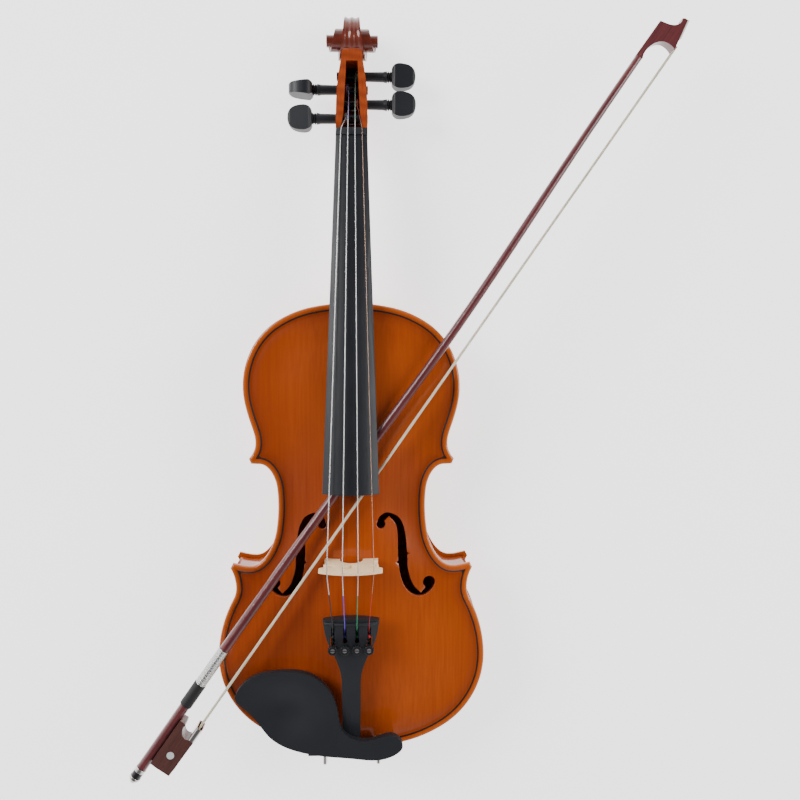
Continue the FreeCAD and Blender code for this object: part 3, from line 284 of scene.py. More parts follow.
def inside(points, loop):
    """True for points inside a closed loop, by counting crossings of a ray towards +x."""
    a, b = loop, np.roll(loop, -1, 0)
    out = np.zeros(len(points), bool)
    for i in range(0, len(points), 2000):
        p = points[i:i + 2000, None]
        up = (a[None, :, 1] > p[..., 1]) != (b[None, :, 1] > p[..., 1])
        dy = np.where(np.abs(b[:, 1] - a[:, 1]) < 1e-12, 1e-12, b[:, 1] - a[:, 1])
        x = (b[:, 0] - a[:, 0]) * (p[..., 1] - a[:, 1]) / dy + a[:, 0]
        out[i:i + 2000] = (up & (p[..., 0] < x)).sum(1) % 2 == 1
    return out


def merge_close(points, gap):
    """Drops points that fall in the same small cell as an earlier one."""
    key = np.round(points / gap).astype(int)
    _, first = np.unique(key, axis=0, return_index=True)
    return points[np.sort(first)]


def carved(outline, normals, rings, spacing, holes, hole_rings, bound):
    """Triangles that fill the bound less the holes, with rows of points parallel to the outline.

    Returns plan points, triangles and the distance of each point from the outline and from the holes.
    """
    sets = []
    for d in rings:
        p = outline + normals * d
        if d > 0:
            p = p[(distance_to(p, outline) > d - 0.06) & inside(p, outline)]
        sets.append(p)
    low, high = outline.min(0), outline.max(0)
    gx = np.arange(low[0], high[0] + spacing, spacing)
    gx = np.concatenate([-gx[gx > 0][::-1], [0], gx[gx > 0]]) if low[0] < 0 < high[0] else gx
    gy = np.arange(low[1], high[1], spacing * 0.9)
    g = np.stack(np.meshgrid(gx, gy, indexing="ij"), -1).reshape(-1, 2)
    g = g[inside(g, outline)]
    g = g[distance_to(g, outline) > rings[-1] + spacing * 0.6]
    sets.append(g)
    points = merge_close(np.concatenate(sets[1:]), 0.22)
    edge = []
    base = []
    count = 0
    for loop in [bound] + list(holes):
        loop = merge_loop(loop, 0.05)
        n = len(loop)
        base.append(loop)
        edge += [(count + i, count + (i + 1) % n) for i in range(n)]
        count += n
    for h in holes:
        points = points[~inside(points, h)]
        near = distance_to(points, h)
        points = points[near > 0.45]
        for d in hole_rings[1:]:
            points = np.concatenate([points, merge_close(h - loop_normals(h) * d, 0.2)])
    for h in holes:
        points = points[~inside(points, h)]
    if len(bound) != len(outline):
        extra = np.stack(np.meshgrid(np.arange(-8, 9, 2.0), np.arange(350.5, 365, 2.0), indexing="ij"), -1)
        points = np.concatenate([points, extra.reshape(-1, 2)])
    points = points[inside(points, bound) & (distance_to(points, bound) > 0.2)]
    everything = np.concatenate(base + [points])
    verts, _, tris, _, _, _ = delaunay_2d_cdt([Vector(v) for v in everything.tolist()], edge, [], 0, 1e-5)
    v = np.array([tuple(q) for q in verts])
    f = np.array([t for t in tris if len(t) == 3])
    c = v[f].mean(1)
    ok = inside(c, bound)
    for h in holes:
        ok &= ~inside(c, h)
    f = f[ok]
    used, inverse = np.unique(f, return_inverse=True)
    v, f = v[used], inverse.reshape(-1, 3)
    a, b, c = v[f[:, 0]], v[f[:, 1]], v[f[:, 2]]
    area = (b[:, 0] - a[:, 0]) * (c[:, 1] - a[:, 1]) - (b[:, 1] - a[:, 1]) * (c[:, 0] - a[:, 0])
    f[area < 0] = f[area < 0][:, ::-1]
    f = f[np.abs(area) > 1e-7]
    d = distance_to(v, bound)
    hd = np.full(len(v), 1e3)
    for h in holes:
        hd = np.minimum(hd, distance_to(v, h))
    return v, f, d, hd


def merge_loop(loop, gap):
    """A closed loop without repeated neighbours."""
    keep = np.linalg.norm(loop - np.roll(loop, 1, 0), axis=1) > gap
    return loop[keep]


def solid_between(plan, faces, top, bottom):
    """Closed shell: the plan triangles on top, the same turned over below, and walls along open edges."""
    n = len(plan)
    upper = np.concatenate([plan, top[:, None]], 1)
    lower = np.concatenate([plan, bottom[:, None]], 1)
    directed = np.concatenate([faces[:, [0, 1]], faces[:, [1, 2]], faces[:, [2, 0]]])
    key = directed[:, 0] * np.int64(n) + directed[:, 1]
    back = directed[:, 1] * np.int64(n) + directed[:, 0]
    rim = directed[~np.isin(key, back)]
    walls = np.stack([rim[:, 0], rim[:, 0] + n, rim[:, 1] + n, rim[:, 1]], -1)
    return np.concatenate([upper, lower]), faces.tolist() + (faces[:, ::-1] + n).tolist() + walls.tolist()


def eased(d, r):
    """Height lost to a quarter-round edge of radius r at distance d from the edge."""
    u = np.clip(1 - d / r, 0, 1)
    return r * (1 - np.sqrt(np.clip(1 - u ** 2, 0, 1)))


def tag(item, name, values):
    """Stores one number per point for the material to read."""
    layer = item.data.attributes.new(name, "FLOAT", "POINT")
    layer.data.foreach_set("value", np.asarray(values, np.float32))


# ---------------------------------------------------------------- shader tools

def new_group(name, inputs, outputs):
    """An empty node group with named sockets: (name, socket type, default)."""
    g = bpy.data.node_groups.new(name, "ShaderNodeTree")
    for label, kind, default in inputs:
        s = g.interface.new_socket(label, in_out="INPUT", socket_type=kind)
        if default is not None:
            s.default_value = default
    for label, kind in outputs:
        g.interface.new_socket(label, in_out="OUTPUT", socket_type=kind)
    return g, g.nodes.new("NodeGroupInput"), g.nodes.new("NodeGroupOutput")


def math_node(tree, operation, a, b=None, clamp=False):
    n = tree.nodes.new("ShaderNodeMath")
    n.operation = operation
    n.use_clamp = clamp
    for i, v in enumerate((a, b)):
        if v is None:
            continue
        if isinstance(v, (int, float)):
            n.inputs[i].default_value = v
        else:
            tree.links.new(v, n.inputs[i])
    return n.outputs[0]


def blend_colours(tree, factor, a, b, mode="MIX"):
    n = tree.nodes.new("ShaderNodeMix")
    n.data_type = "RGBA"
    n.blend_type = mode
    for sock, v in ((n.inputs[0], factor), (n.inputs[6], a), (n.inputs[7], b)):
        if isinstance(v, (int, float)):
            sock.default_value = v
        elif isinstance(v, tuple):
            sock.default_value = v if len(v) == 4 else v + (1.0,)
        else:
            tree.links.new(v, sock)
    return n.outputs[2]


def ramp(tree, value, stops):
    n = tree.nodes.new("ShaderNodeValToRGB")
    e = n.color_ramp.elements
    while len(e) < len(stops):
        e.new(0.5)
    for el, (pos, col) in zip(e, stops):
        el.position = pos
        el.color = col if len(col) == 4 else tuple(col) + (1.0,)
    tree.links.new(value, n.inputs[0])
    return n.outputs[0]


def object_space(tree, scale=(1, 1, 1), turn=(0, 0, 0)):
    t = tree.nodes.new("ShaderNodeTexCoord")
    m = tree.nodes.new("ShaderNodeMapping")
    m.vector_type = "POINT"
    m.inputs["Rotation"].default_value = turn
    m.inputs["Scale"].default_value = scale
    tree.links.new(t.outputs["Object"], m.inputs["Vector"])
    return m.outputs[0]


def noise(tree, vector, scale, detail=3.0, rough=0.5):
    n = tree.nodes.new("ShaderNodeTexNoise")
    n.inputs["Scale"].default_value = scale
    n.inputs["Detail"].default_value = detail
    n.inputs["Roughness"].default_value = rough
    tree.links.new(vector, n.inputs["Vector"])
    return n.outputs["Fac"]


def group_use(tree, group, **values):
    n = tree.nodes.new("ShaderNodeGroup")
    n.node_tree = group
    for k, v in values.items():
        s = n.inputs[k.replace("_", " ")]
        if hasattr(v, "is_linked") or hasattr(v, "links"):
            tree.links.new(v, s)
        else:
            s.default_value = v
    return n


def streak_group():
    """Fine lines that run along Y: noise stretched 40 times along the grain, sharpened to lines."""
    g, i, o = new_group("Grain streaks", [("Vector", "NodeSocketVector", None),
                                          ("Lines per metre", "NodeSocketFloat", 700.0),
                                          ("Contrast", "NodeSocketFloat", 0.5)],
                        [("Mask", "NodeSocketFloat")])
    m = g.nodes.new("ShaderNodeVectorMath")
    m.operation = "MULTIPLY"
    m.inputs[1].default_value = (1.0, 0.02, 1.0)
    g.links.new(i.outputs["Vector"], m.inputs[0])
    n = g.nodes.new("ShaderNodeTexNoise")
    n.inputs["Detail"].default_value = 4.0
    n.inputs["Roughness"].default_value = 0.62
    g.links.new(m.outputs[0], n.inputs["Vector"])
    g.links.new(i.outputs["Lines per metre"], n.inputs["Scale"])
    low = math_node(g, "SUBTRACT", n.outputs["Fac"], 0.5)
    wide = math_node(g, "MULTIPLY", low, i.outputs["Contrast"])
    g.links.new(math_node(g, "ADD", math_node(g, "MULTIPLY", wide, 3.0), 0.5, True), o.inputs["Mask"])
    return g


def handling_group():
    """Roughness of a surface that has been handled: soft smudges."""
    g, i, o = new_group("Handled surface", [("Vector", "NodeSocketVector", None),
                                            ("Roughness", "NodeSocketFloat", 0.3),
                                            ("Smudges", "NodeSocketFloat", 0.08)],
                        [("Roughness", "NodeSocketFloat")])
    a = g.nodes.new("ShaderNodeTexNoise")
    a.inputs["Scale"].default_value = 26.0
    a.inputs["Detail"].default_value = 5.0
    g.links.new(i.outputs["Vector"], a.inputs["Vector"])
    smear = math_node(g, "MULTIPLY", math_node(g, "SUBTRACT", a.outputs["Fac"], 0.5), i.outputs["Smudges"])
    total = math_node(g, "ADD", i.outputs["Roughness"], math_node(g, "MULTIPLY", smear, 2.0), True)
    g.links.new(total, o.inputs["Roughness"])
    return g


GROUPS = {}


def shared(name):
    if name not in GROUPS:
        GROUPS[name] = {"grain": streak_group, "handled": handling_group}[name]()
    return GROUPS[name]


def base_material(name):
    m = bpy.data.materials.new(name)
    m.use_nodes = True
    t = m.node_tree
    return m, t, t.nodes["Principled BSDF"]


def bump_into(tree, shader, height, strength, distance):
    b = tree.nodes.new("ShaderNodeBump")
    b.inputs["Strength"].default_value = strength
    b.inputs["Distance"].default_value = distance
    tree.links.new(height, b.inputs["Height"])
    tree.links.new(b.outputs[0], shader.inputs["Normal"])


def attribute(tree, name):
    n = tree.nodes.new("ShaderNodeAttribute")
    n.attribute_name = name
    return n.outputs["Fac"]


def varnish(name, light, dark, kind, turn=(0, 0, 0), edge=False):
    """Glossy spirit varnish over spruce (fine lines) or maple (lines crossed by flames). With edge, it also paints
    shade towards the left (-x), a highlight on the raised edge and shade in the channel.
    """
    m, t, s = base_material(name)
    v = object_space(t, turn=turn)
    lines = group_use(t, shared("grain"), Vector=v, Lines_per_metre=520.0 if kind == "spruce" else 900.0,
                      Contrast=0.38)
    colour = blend_colours(t, lines.outputs["Mask"], dark, light)
    broad = noise(t, v, 9.0, 2.0)
    patches = math_node(t, "MULTIPLY", math_node(t, "SUBTRACT", broad, 0.35, True), 1.1, True)
    colour = blend_colours(t, patches, colour, tuple(c * k for c, k in zip(light, (1.12, 1.25, 1.3))))
    if kind == "maple":
        w = t.nodes.new("ShaderNodeTexWave")
        w.wave_type = "BANDS"
        w.bands_direction = "Y"
        w.inputs["Scale"].default_value = 34.0
        w.inputs["Distortion"].default_value = 5.0
        w.inputs["Detail"].default_value = 2.0
        w.inputs["Detail Scale"].default_value = 1.2
        t.links.new(v, w.inputs["Vector"])
        colour = blend_colours(t, math_node(t, "MULTIPLY", w.outputs["Fac"], 0.38), colour,
                               tuple(c * 0.55 for c in dark))
    if edge:
        # Painted shade: the plates are mixed towards the dark varnish on their left (-x) side, up to 45 per cent.
        place = t.nodes.new("ShaderNodeSeparateXYZ")
        t.links.new(v, place.inputs[0])
        side = math_node(t, "SUBTRACT", 0.36, math_node(t, "MULTIPLY", place.outputs["X"], 5.0), True)
        colour = blend_colours(t, math_node(t, "MULTIPLY", side, 0.45), colour, dark)
        rim = attribute(t, "rim")
        # Painted highlight: the colour is lightened along the raised edge bead, within about 4 mm of the outline.
        bead = ramp(t, math_node(t, "DIVIDE", rim, 20.0, True),
                    [(0.0, (0.45, 0.45, 0.45)), (0.10, (0.35, 0.35, 0.35)), (0.19, (0.0, 0.0, 0.0)),
                     (1.0, (0.0, 0.0, 0.0))])
        colour = blend_colours(t, bead, colour, tuple(min(c * k, 1) for c, k in zip(light, (1.25, 1.7, 1.9))))
        # Painted shade: the colour is darkened in the channel inside the edge, most about 6 mm in, fading out by about
        # 30 mm.
        hollow = ramp(t, math_node(t, "DIVIDE", rim, 40.0, True),
                      [(0.08, (0, 0, 0)), (0.16, (0.5, 0.5, 0.5)), (0.34, (0.18, 0.18, 0.18)), (0.8, (0, 0, 0))])
        colour = blend_colours(t, hollow, colour, tuple(c * 0.55 for c in dark))
    t.links.new(colour, s.inputs["Base Color"])
    hand = group_use(t, shared("handled"), Vector=v, Roughness=0.30, Smudges=0.05)
    t.links.new(hand.outputs["Roughness"], s.inputs["Roughness"])
    s.inputs["Coat Weight"].default_value = 0.8
    s.inputs["Coat Roughness"].default_value = 0.07
    s.inputs["Specular IOR Level"].default_value = 0.2
    s.inputs["Coat IOR"].default_value = 1.5
    bump_into(t, s, lines.outputs["Mask"], 0.10, 0.0001)
    return m


def bare_wood(name, light, dark, lines_per_metre=1100.0, rough=0.55, turn=(0, 0, 0), pores=0.25, coat=0.0):
    """Unvarnished or oiled wood: grain lines, pores and an uneven sheen."""
    m, t, s = base_material(name)
    v = object_space(t, turn=turn)
    lines = group_use(t, shared("grain"), Vector=v, Lines_per_metre=lines_per_metre, Contrast=0.7)
    colour = blend_colours(t, lines.outputs["Mask"], dark, light)
    m2 = t.nodes.new("ShaderNodeVectorMath")
    m2.operation = "MULTIPLY"
    m2.inputs[1].default_value = (1.0, 0.12, 1.0)
    t.links.new(v, m2.inputs[0])
    specks = noise(t, m2.outputs[0], 2600.0, 1.0)
    mask = math_node(t, "MULTIPLY", math_node(t, "GREATER_THAN", specks, 0.66), pores)
    colour = blend_colours(t, mask, colour, tuple(c * 0.4 for c in dark))
    t.links.new(colour, s.inputs["Base Color"])
    hand = group_use(t, shared("handled"), Vector=v, Roughness=rough, Smudges=0.12)
    t.links.new(hand.outputs["Roughness"], s.inputs["Roughness"])
    s.inputs["Coat Weight"].default_value = coat
    s.inputs["Coat Roughness"].default_value = 0.25
    s.inputs["Specular IOR Level"].default_value = 0.35
    bump_into(t, s, lines.outputs["Mask"], 0.12, 0.00008)
    return m


def moulded(name, colour, rough=0.5, texture=1500.0, strength=0.15):
    """Moulded or dyed matt surface with a very fine grain."""
    m, t, s = base_material(name)
    v = object_space(t)
    broad = noise(t, v, 30.0, 3.0)
    worn = tuple(min(c * 1.5 + 0.004, 1) for c in colour)
    col = blend_colours(t, math_node(t, "MULTIPLY", broad, 0.6), colour, worn)
    t.links.new(col, s.inputs["Base Color"])
    hand = group_use(t, shared("handled"), Vector=v, Roughness=rough, Smudges=0.1)
    t.links.new(hand.outputs["Roughness"], s.inputs["Roughness"])
    s.inputs["Specular IOR Level"].default_value = 0.3
    bump_into(t, s, noise(t, v, texture, 2.0), strength, 0.00004)
    return m


def plated(name, colour, rough=0.22, scratch=0.3, turn=(0, 0, 0)):
    """Metal with fine scratches and slight tarnish."""
    m, t, s = base_material(name)
    v = object_space(t, turn=turn)
    tarnish = noise(t, v, 160.0, 4.0)
    col = blend_colours(t, math_node(t, "MULTIPLY", tarnish, 0.35), colour, tuple(c * 0.6 for c in colour))
    t.links.new(col, s.inputs["Base Color"])
    s.inputs["Metallic"].default_value = 1.0
    hand = group_use(t, shared("handled"), Vector=v, Roughness=rough, Smudges=0.15)
    t.links.new(hand.outputs["Roughness"], s.inputs["Roughness"])
    lines = group_use(t, shared("grain"), Vector=v, Lines_per_metre=5000.0, Contrast=0.6)
    bump_into(t, s, lines.outputs["Mask"], scratch * 0.3, 0.00003)
    return m


def striped(name, a, b, per_metre, turn, metallic=0.0, rough=0.35, depth=0.5, axis="X"):
    """Wound or bundled material: fine bands across one direction."""
    m, t, s = base_material(name)
    v = object_space(t, turn=turn)
    w = t.nodes.new("ShaderNodeTexWave")
    w.wave_type = "BANDS"
    w.bands_direction = axis
    w.wave_profile = "SIN"
    w.inputs["Scale"].default_value = per_metre / 3.1416 / 2.0 * 2.0
    w.inputs["Distortion"].default_value = 0.25
    t.links.new(v, w.inputs["Vector"])
    # Painted shade: for the wire winding the second colour is dark, standing for the shade in the grooves between
    # turns.
    col = blend_colours(t, w.outputs["Fac"], a, b)
    t.links.new(col, s.inputs["Base Color"])
    s.inputs["Metallic"].default_value = metallic
    hand = group_use(t, shared("handled"), Vector=v, Roughness=rough, Smudges=0.1)
    t.links.new(hand.outputs["Roughness"], s.inputs["Roughness"])
    bump_into(t, s, w.outputs["Fac"], depth, 0.0002)
    return m


FINISHES = {}


def make_finishes(look):
    """Every finish of the violin and the bow, from the colours in the panel."""
    light, dark = tuple(look.varnish_light), tuple(look.varnish_dark)
    black = tuple(look.ebony)
    bow_turn = (0.0, math.radians(-BOW_DIP), math.radians(90.0 - BOW_ANGLE))
    F = FINISHES
    F["belly"] = varnish("Varnished spruce", light, dark, "spruce", edge=True)
    F["back"] = varnish("Varnished maple back", light, dark, "maple", edge=True)
    F["ribs"] = varnish("Varnished maple ribs", tuple(c * 0.9 for c in light), dark, "maple",
                        turn=(math.radians(90), 0, 0))
    neck_light = tuple(c * k for c, k in zip(light, (0.85, 0.85, 2.0)))
    F["neck"] = varnish("Varnished maple neck", neck_light, dark, "maple")
    F["scroll"] = varnish("Varnished maple scroll", tuple(look.scroll_light), tuple(look.scroll_dark),
                          "maple")
    F["inner"] = bare_wood("Plain spruce", (0.62, 0.44, 0.25), (0.46, 0.29, 0.14), 600.0)
    F["inlay"] = bare_wood("Purfling strips", (0.035, 0.014, 0.008), (0.012, 0.006, 0.004), 2000.0, 0.35,
                           coat=0.5)
    F["ebony"] = bare_wood("Blackened fingerboard wood", tuple(c * 1.25 for c in black), black, 1400.0, 0.42)
    F["matt_black"] = moulded("Matt black fittings", black, 0.5)
    F["bridge"] = bare_wood("Bridge maple", (1.0, 0.79, 0.50), (0.86, 0.60, 0.34), 1300.0, 0.5,
                            turn=(0, 0, math.radians(90)), pores=0.6)
    F["cork"] = moulded("Cork", (0.42, 0.25, 0.12), 0.8, 400.0, 0.6)
    F["nickel"] = plated("Nickel plate", (0.74, 0.72, 0.68))
    F["tuner"] = moulded("Black tuner metal", (0.02, 0.02, 0.022), 0.32)
    F["brass"] = plated("Brass", (0.72, 0.52, 0.24))
    F["silver"] = plated("Bow silver", (0.74, 0.71, 0.66), 0.2)
    F["steel"] = plated("Screw steel", (0.5, 0.5, 0.5), 0.3)
    # The darker band colour is painted shade in the grooves between the wire turns.
    F["winding"] = striped("Silver winding", (0.80, 0.79, 0.77), (0.30, 0.29, 0.29), 2400.0, bow_turn, 1.0,
                           0.28, axis="Y")
    F["leather"] = moulded("Grip leather", (0.012, 0.011, 0.012), 0.55, 900.0, 0.5)
    F["pearl"] = plated("Pearl", (0.78, 0.80, 0.80), 0.25)
    F["pearl"].node_tree.nodes["Principled BSDF"].inputs["Metallic"].default_value = 0.35
    F["ivory"] = moulded("Tip plate", (0.70, 0.66, 0.56), 0.35)
    F["bow"] = bare_wood("Bow stick wood", tuple(look.bow_light), tuple(look.bow_dark), 900.0, 0.3,
                         turn=bow_turn, pores=0.4, coat=0.7)
    F["frog"] = bare_wood("Frog wood", (0.10, 0.035, 0.028), (0.045, 0.017, 0.014), 1500.0, 0.35,
                          turn=bow_turn, pores=0.4, coat=0.5)
    F["hair"] = hair_finish(bow_turn)
    F["tuner_screw"] = painted_glint_screw_finish()
    F["button"] = button_finish()
    F["gut"] = moulded("Tailgut", (0.02, 0.02, 0.02), 0.4)
    for name, silk in (("g", (0.015, 0.015, 0.018)), ("d", (0.10, 0.05, 0.42)), ("a", (0.02, 0.22, 0.10)),
                       ("e", (0.50, 0.02, 0.03))):
        F["string_" + name] = string_finish(name, silk)


def painted_glint_screw_finish():
    """Black knurled head with a painted glint at its middle, made as a bright slotted metal tip; the four axes stand
    9.2 mm apart.
    """
    m = moulded("Tuner screw", (0.012, 0.012, 0.014), 0.3)
    t = m.node_tree
    s = t.nodes["Principled BSDF"]
    tex = t.nodes.new("ShaderNodeTexCoord")
    xyz = t.nodes.new("ShaderNodeSeparateXYZ")
    t.links.new(tex.outputs["Object"], xyz.inputs[0])
    pitch = 9.2 * MM
    along = math_node(t, "FLOORED_MODULO", math_node(t, "ADD", xyz.outputs["X"], 4 * pitch), pitch)
    dx = math_node(t, "ABSOLUTE", math_node(t, "SUBTRACT", along, pitch / 2))
    dy = math_node(t, "ABSOLUTE", math_node(t, "SUBTRACT", xyz.outputs["Y"], (92.6 - HALF_BODY) * MM))
    r2 = math_node(t, "ADD", math_node(t, "MULTIPLY", dx, dx), math_node(t, "MULTIPLY", dy, dy))
    # Painted glint: a bright metal spot of 1.7 mm radius at the middle of each head, split by a dark slot.
    mask = math_node(t, "LESS_THAN", r2, (1.7 * MM) ** 2)
    mask = math_node(t, "MULTIPLY", mask, math_node(t, "GREATER_THAN", dy, 0.3 * MM))
    t.links.new(mask, s.inputs["Metallic"])
    old = s.inputs["Base Color"].links[0].from_socket
    t.links.new(blend_colours(t, mask, old, (0.75, 0.73, 0.68)), s.inputs["Base Color"])
    return m


def button_finish():
    """Silver caps at both ends of a black barrel; the position is measured along the bow's axis."""
    m = plated("Bow button", (0.76, 0.74, 0.70), 0.2)
    t = m.node_tree
    s = t.nodes["Principled BSDF"]
    tex = t.nodes.new("ShaderNodeTexCoord")
    dot = t.nodes.new("ShaderNodeVectorMath")
    dot.operation = "DOT_PRODUCT"
    a, b = math.radians(BOW_DIP), math.radians(BOW_ANGLE)
    axis = (math.cos(a) * math.cos(b), math.cos(a) * math.sin(b), -math.sin(a))
    dot.inputs[1].default_value = axis
    t.links.new(tex.outputs["Object"], dot.inputs[0])
    start = sum(p * q for p, q in zip(axis, (-0.1705, -0.0095 - HALF_BODY * MM, 0.07265)))
    u = math_node(t, "SUBTRACT", dot.outputs["Value"], start)
    band = math_node(t, "MULTIPLY", math_node(t, "GREATER_THAN", u, 4.6 * MM),
                     math_node(t, "LESS_THAN", u, 9.6 * MM))
    old = s.inputs["Base Color"].links[0].from_socket
    t.links.new(blend_colours(t, band, old, (0.012, 0.011, 0.012)), s.inputs["Base Color"])
    t.links.new(math_node(t, "SUBTRACT", 1.0, band), s.inputs["Metallic"])
    return m


def hair_finish(turn):
    """Horsehair ribbon: many thin strands along the bow, cream, with painted shade as darker lines in the gaps between
    strands.
    """
    m, t, s = base_material("Bow hair")
    v = object_space(t, turn=turn)
    lines = group_use(t, shared("grain"), Vector=v, Lines_per_metre=6000.0, Contrast=1.0)
    # Painted shade: the darker colour marks the gaps between strands.
    col = blend_colours(t, lines.outputs["Mask"], (0.42, 0.35, 0.22), (0.90, 0.84, 0.68))
    t.links.new(col, s.inputs["Base Color"])
    hand = group_use(t, shared("handled"), Vector=v, Roughness=0.42, Smudges=0.1)
    t.links.new(hand.outputs["Roughness"], s.inputs["Roughness"])
    s.inputs["Sheen Weight"].default_value = 0.3
    bump_into(t, s, lines.outputs["Mask"], 0.5, 0.0001)
    return m


def string_finish(name, silk):
    """Metal winding with coloured silk where the string meets the tailpiece and the peg."""
    m, t, s = base_material("String " + name)
    v = object_space(t)
    tex = t.nodes.new("ShaderNodeSeparateXYZ")
    t.links.new(v, tex.inputs[0])
    y = tex.outputs["Y"]
    tail = math_node(t, "LESS_THAN", y, (138.0 - HALF_BODY) * MM)
    head = math_node(t, "MULTIPLY", math_node(t, "GREATER_THAN", y, (494.0 - HALF_BODY) * MM), 0.55)
    mask = math_node(t, "ADD", tail, head, True)
    metal = (0.62, 0.40, 0.30) if name == "e" else (0.70, 0.70, 0.69)
    w = t.nodes.new("ShaderNodeTexWave")
    w.bands_direction = "Y"
    w.inputs["Scale"].default_value = 1300.0
    w.inputs["Distortion"].default_value = 0.4
    t.links.new(v, w.inputs["Vector"])
    # Painted shade: the winding is drawn in bands, the darker at 0.6 of the metal colour, standing for the shade
    # between turns.
    wound = blend_colours(t, w.outputs["Fac"], tuple(c * 0.6 for c in metal), metal)
    t.links.new(blend_colours(t, mask, wound, silk), s.inputs["Base Color"])
    t.links.new(math_node(t, "SUBTRACT", 1.0, mask), s.inputs["Metallic"])
    rough = math_node(t, "ADD", math_node(t, "MULTIPLY", mask, 0.4), 0.24)
    hand = group_use(t, shared("handled"), Vector=v, Roughness=rough, Smudges=0.06)
    t.links.new(hand.outputs["Roughness"], s.inputs["Roughness"])
    bump_into(t, s, w.outputs["Fac"], 0.3, 0.00005)
    return m


# ---------------------------------------------------------------- the plates

RINGS = (0.0, 0.3, 0.7, 1.2, 1.9, 2.8, 3.5, 4.2, 5.5, 6.8, 8.2, 10.5, 13.5, 17.0)


def smoothstep(v, a, b):
    t = np.clip((v - a) / (b - a), 0, 1)
    return t * t * (3 - 2 * t)


def arch(x, y):
    """Rise from 0 at the edge to 1 at the crown: (1 - s^2.6) along times (half cosine)^0.85 across."""
    ya = np.array([-10, 6, 30, 76, 140, 197, 238, 290, 328, 350, 365], float)
    wa = np.array([14, 44, 78, 99, 71, 53, 61, 79, 63, 30, 14], float)
    k = np.clip(np.searchsorted(ya, y) - 1, 0, len(ya) - 2)
    half = wa[k] + (wa[k + 1] - wa[k]) * smoothstep((y - ya[k]) / (ya[k + 1] - ya[k]), 0, 1)
    s = np.clip(np.abs(y - HALF_BODY) / (HALF_BODY - 6), 0, 1)
    t = np.clip(np.abs(x) / half, 0, 1)
    return (1 - s ** 2.6) * (0.5 + 0.5 * np.cos(np.pi * t)) ** 0.85


def plate_height(plan, rim, cut):
    """Height over the glue plane: 4 mm edge with a rounded bead, a shallow channel, then the arch."""
    bead = 0.35 * np.exp(-((rim - 2.6) / 1.7) ** 2)
    channel = 0.75 * np.exp(-((rim - 6.6) / 2.8) ** 2)
    body = 4 + 11 * arch(plan[:, 0], plan[:, 1]) * smoothstep(rim, 3, 20)
    return body + bead - channel - eased(rim, 1.5) - eased(cut, 0.3)


def oriented(loop):
    x, y = loop[:, 0], loop[:, 1]
    return loop if (x * np.roll(y, -1) - y * np.roll(x, -1)).sum() > 0 else loop[::-1]


def sound_hole(side):
    """Loops whose union is one f-hole: the slot, its two round eyes and its two nicks."""
    outer = through([(19.6, 185.2), (21.9, 190.3), (28.0, 193.0), (36.6, 188.6), (41.4, 178.2), (43.4, 160.0),
                     (44.3, 146.3), (48.2, 134.9), (54.4, 127.9)], 8)
    inner = through([(65.6, 136.6), (63.5, 130.9), (57.6, 126.3), (50.6, 126.0), (43.2, 131.3), (38.4, 141.9),
                     (36.2, 157.5), (35.9, 174.0), (34.3, 183.2), (29.0, 189.9)], 8)
    slot = np.concatenate([outer, [(58.2, 132.4)], inner, [(25.2, 186.3)]])
    a = np.linspace(0, 2 * np.pi, 36, endpoint=False)
    ring = np.stack([np.cos(a), np.sin(a)], -1)
    loops = [slot, ring * 3.4 + (22.8, 184.0), ring * 4.8 + (60.8, 136.1),
             np.array([(42.6, 161.6), (45.2, 159.8), (42.6, 158.0)]),
             np.array([(37.2, 155.4), (34.6, 153.6), (37.2, 151.8)])]
    return [oriented(q * [side, 1]) for q in loops]


def with_button(outline):
    """The outline with a half-round button of 10.4 mm radius standing on its upper end."""
    keep = ~((np.abs(outline[:, 0]) < 10.4) & (outline[:, 1] > 300))
    right = outline[keep & (outline[:, 0] > 0)]
    left = outline[keep & (outline[:, 0] <= 0)]
    a = np.linspace(0, np.pi, 30)
    arc = np.stack([10.4 * np.cos(a), 356 + 10.4 * np.sin(a)], -1)
    return np.concatenate([right, arc, left]) if outline[1, 0] > 0 else np.concatenate([left, arc, right])


def build_plate(name, back):
    """A carved plate and its purfling. Height comes from plate_height; the back is turned over."""
    edge, normals = body_outline(1.3)
    plain = merge_loop(edge, 0.02)
    holes = [] if back else sound_hole(1) + sound_hole(-1)
    bound = with_button(plain) if back else plain
    plan, faces, _, cut = carved(edge, normals, RINGS, 3.4, holes, (0.0, 0.3), bound)
    rim = distance_to(plan, bound)
    line = distance_to(plan, plain)
    top = plate_height(plan, rim, cut)
    low = np.clip(top - 3.0, 0, None) * smoothstep(rim, 8.0, 12.0)
    z0, s = (GLUE_BACK, -1) if back else (GLUE_BELLY, 1)
    order = faces if s > 0 else faces[:, ::-1]
    points, shell = solid_between(plan, order, z0 + s * top, z0 + s * low)
    plate = collect(name, points, shell, FINISHES["back" if back else "belly"], 35)
    tag(plate, "rim", np.concatenate([rim, rim]))
    band = (line[faces].min(1) > 4.15) & (line[faces].max(1) < 5.55) & inside(plan[faces].mean(1), plain)
    used, index = np.unique(faces[band], return_inverse=True)
    index = index.reshape(-1, 3)
    index = index if s > 0 else index[:, ::-1]
    points, shell = solid_between(plan[used], index, z0 + s * (top[used] + 0.03), z0 + s * (top[used] - 1.0))
    strip = collect(name + "_purfling", points, shell, FINISHES["inlay"], 35)
    carry(plate, "violin", "back" if back else "belly", finish="varnished_maple" if back else "varnished_spruce")
    carry(strip, "violin", "purfling_back" if back else "purfling_belly", finish="purfling")
    return plate


# ---------------------------------------------------------------- tubes and strings

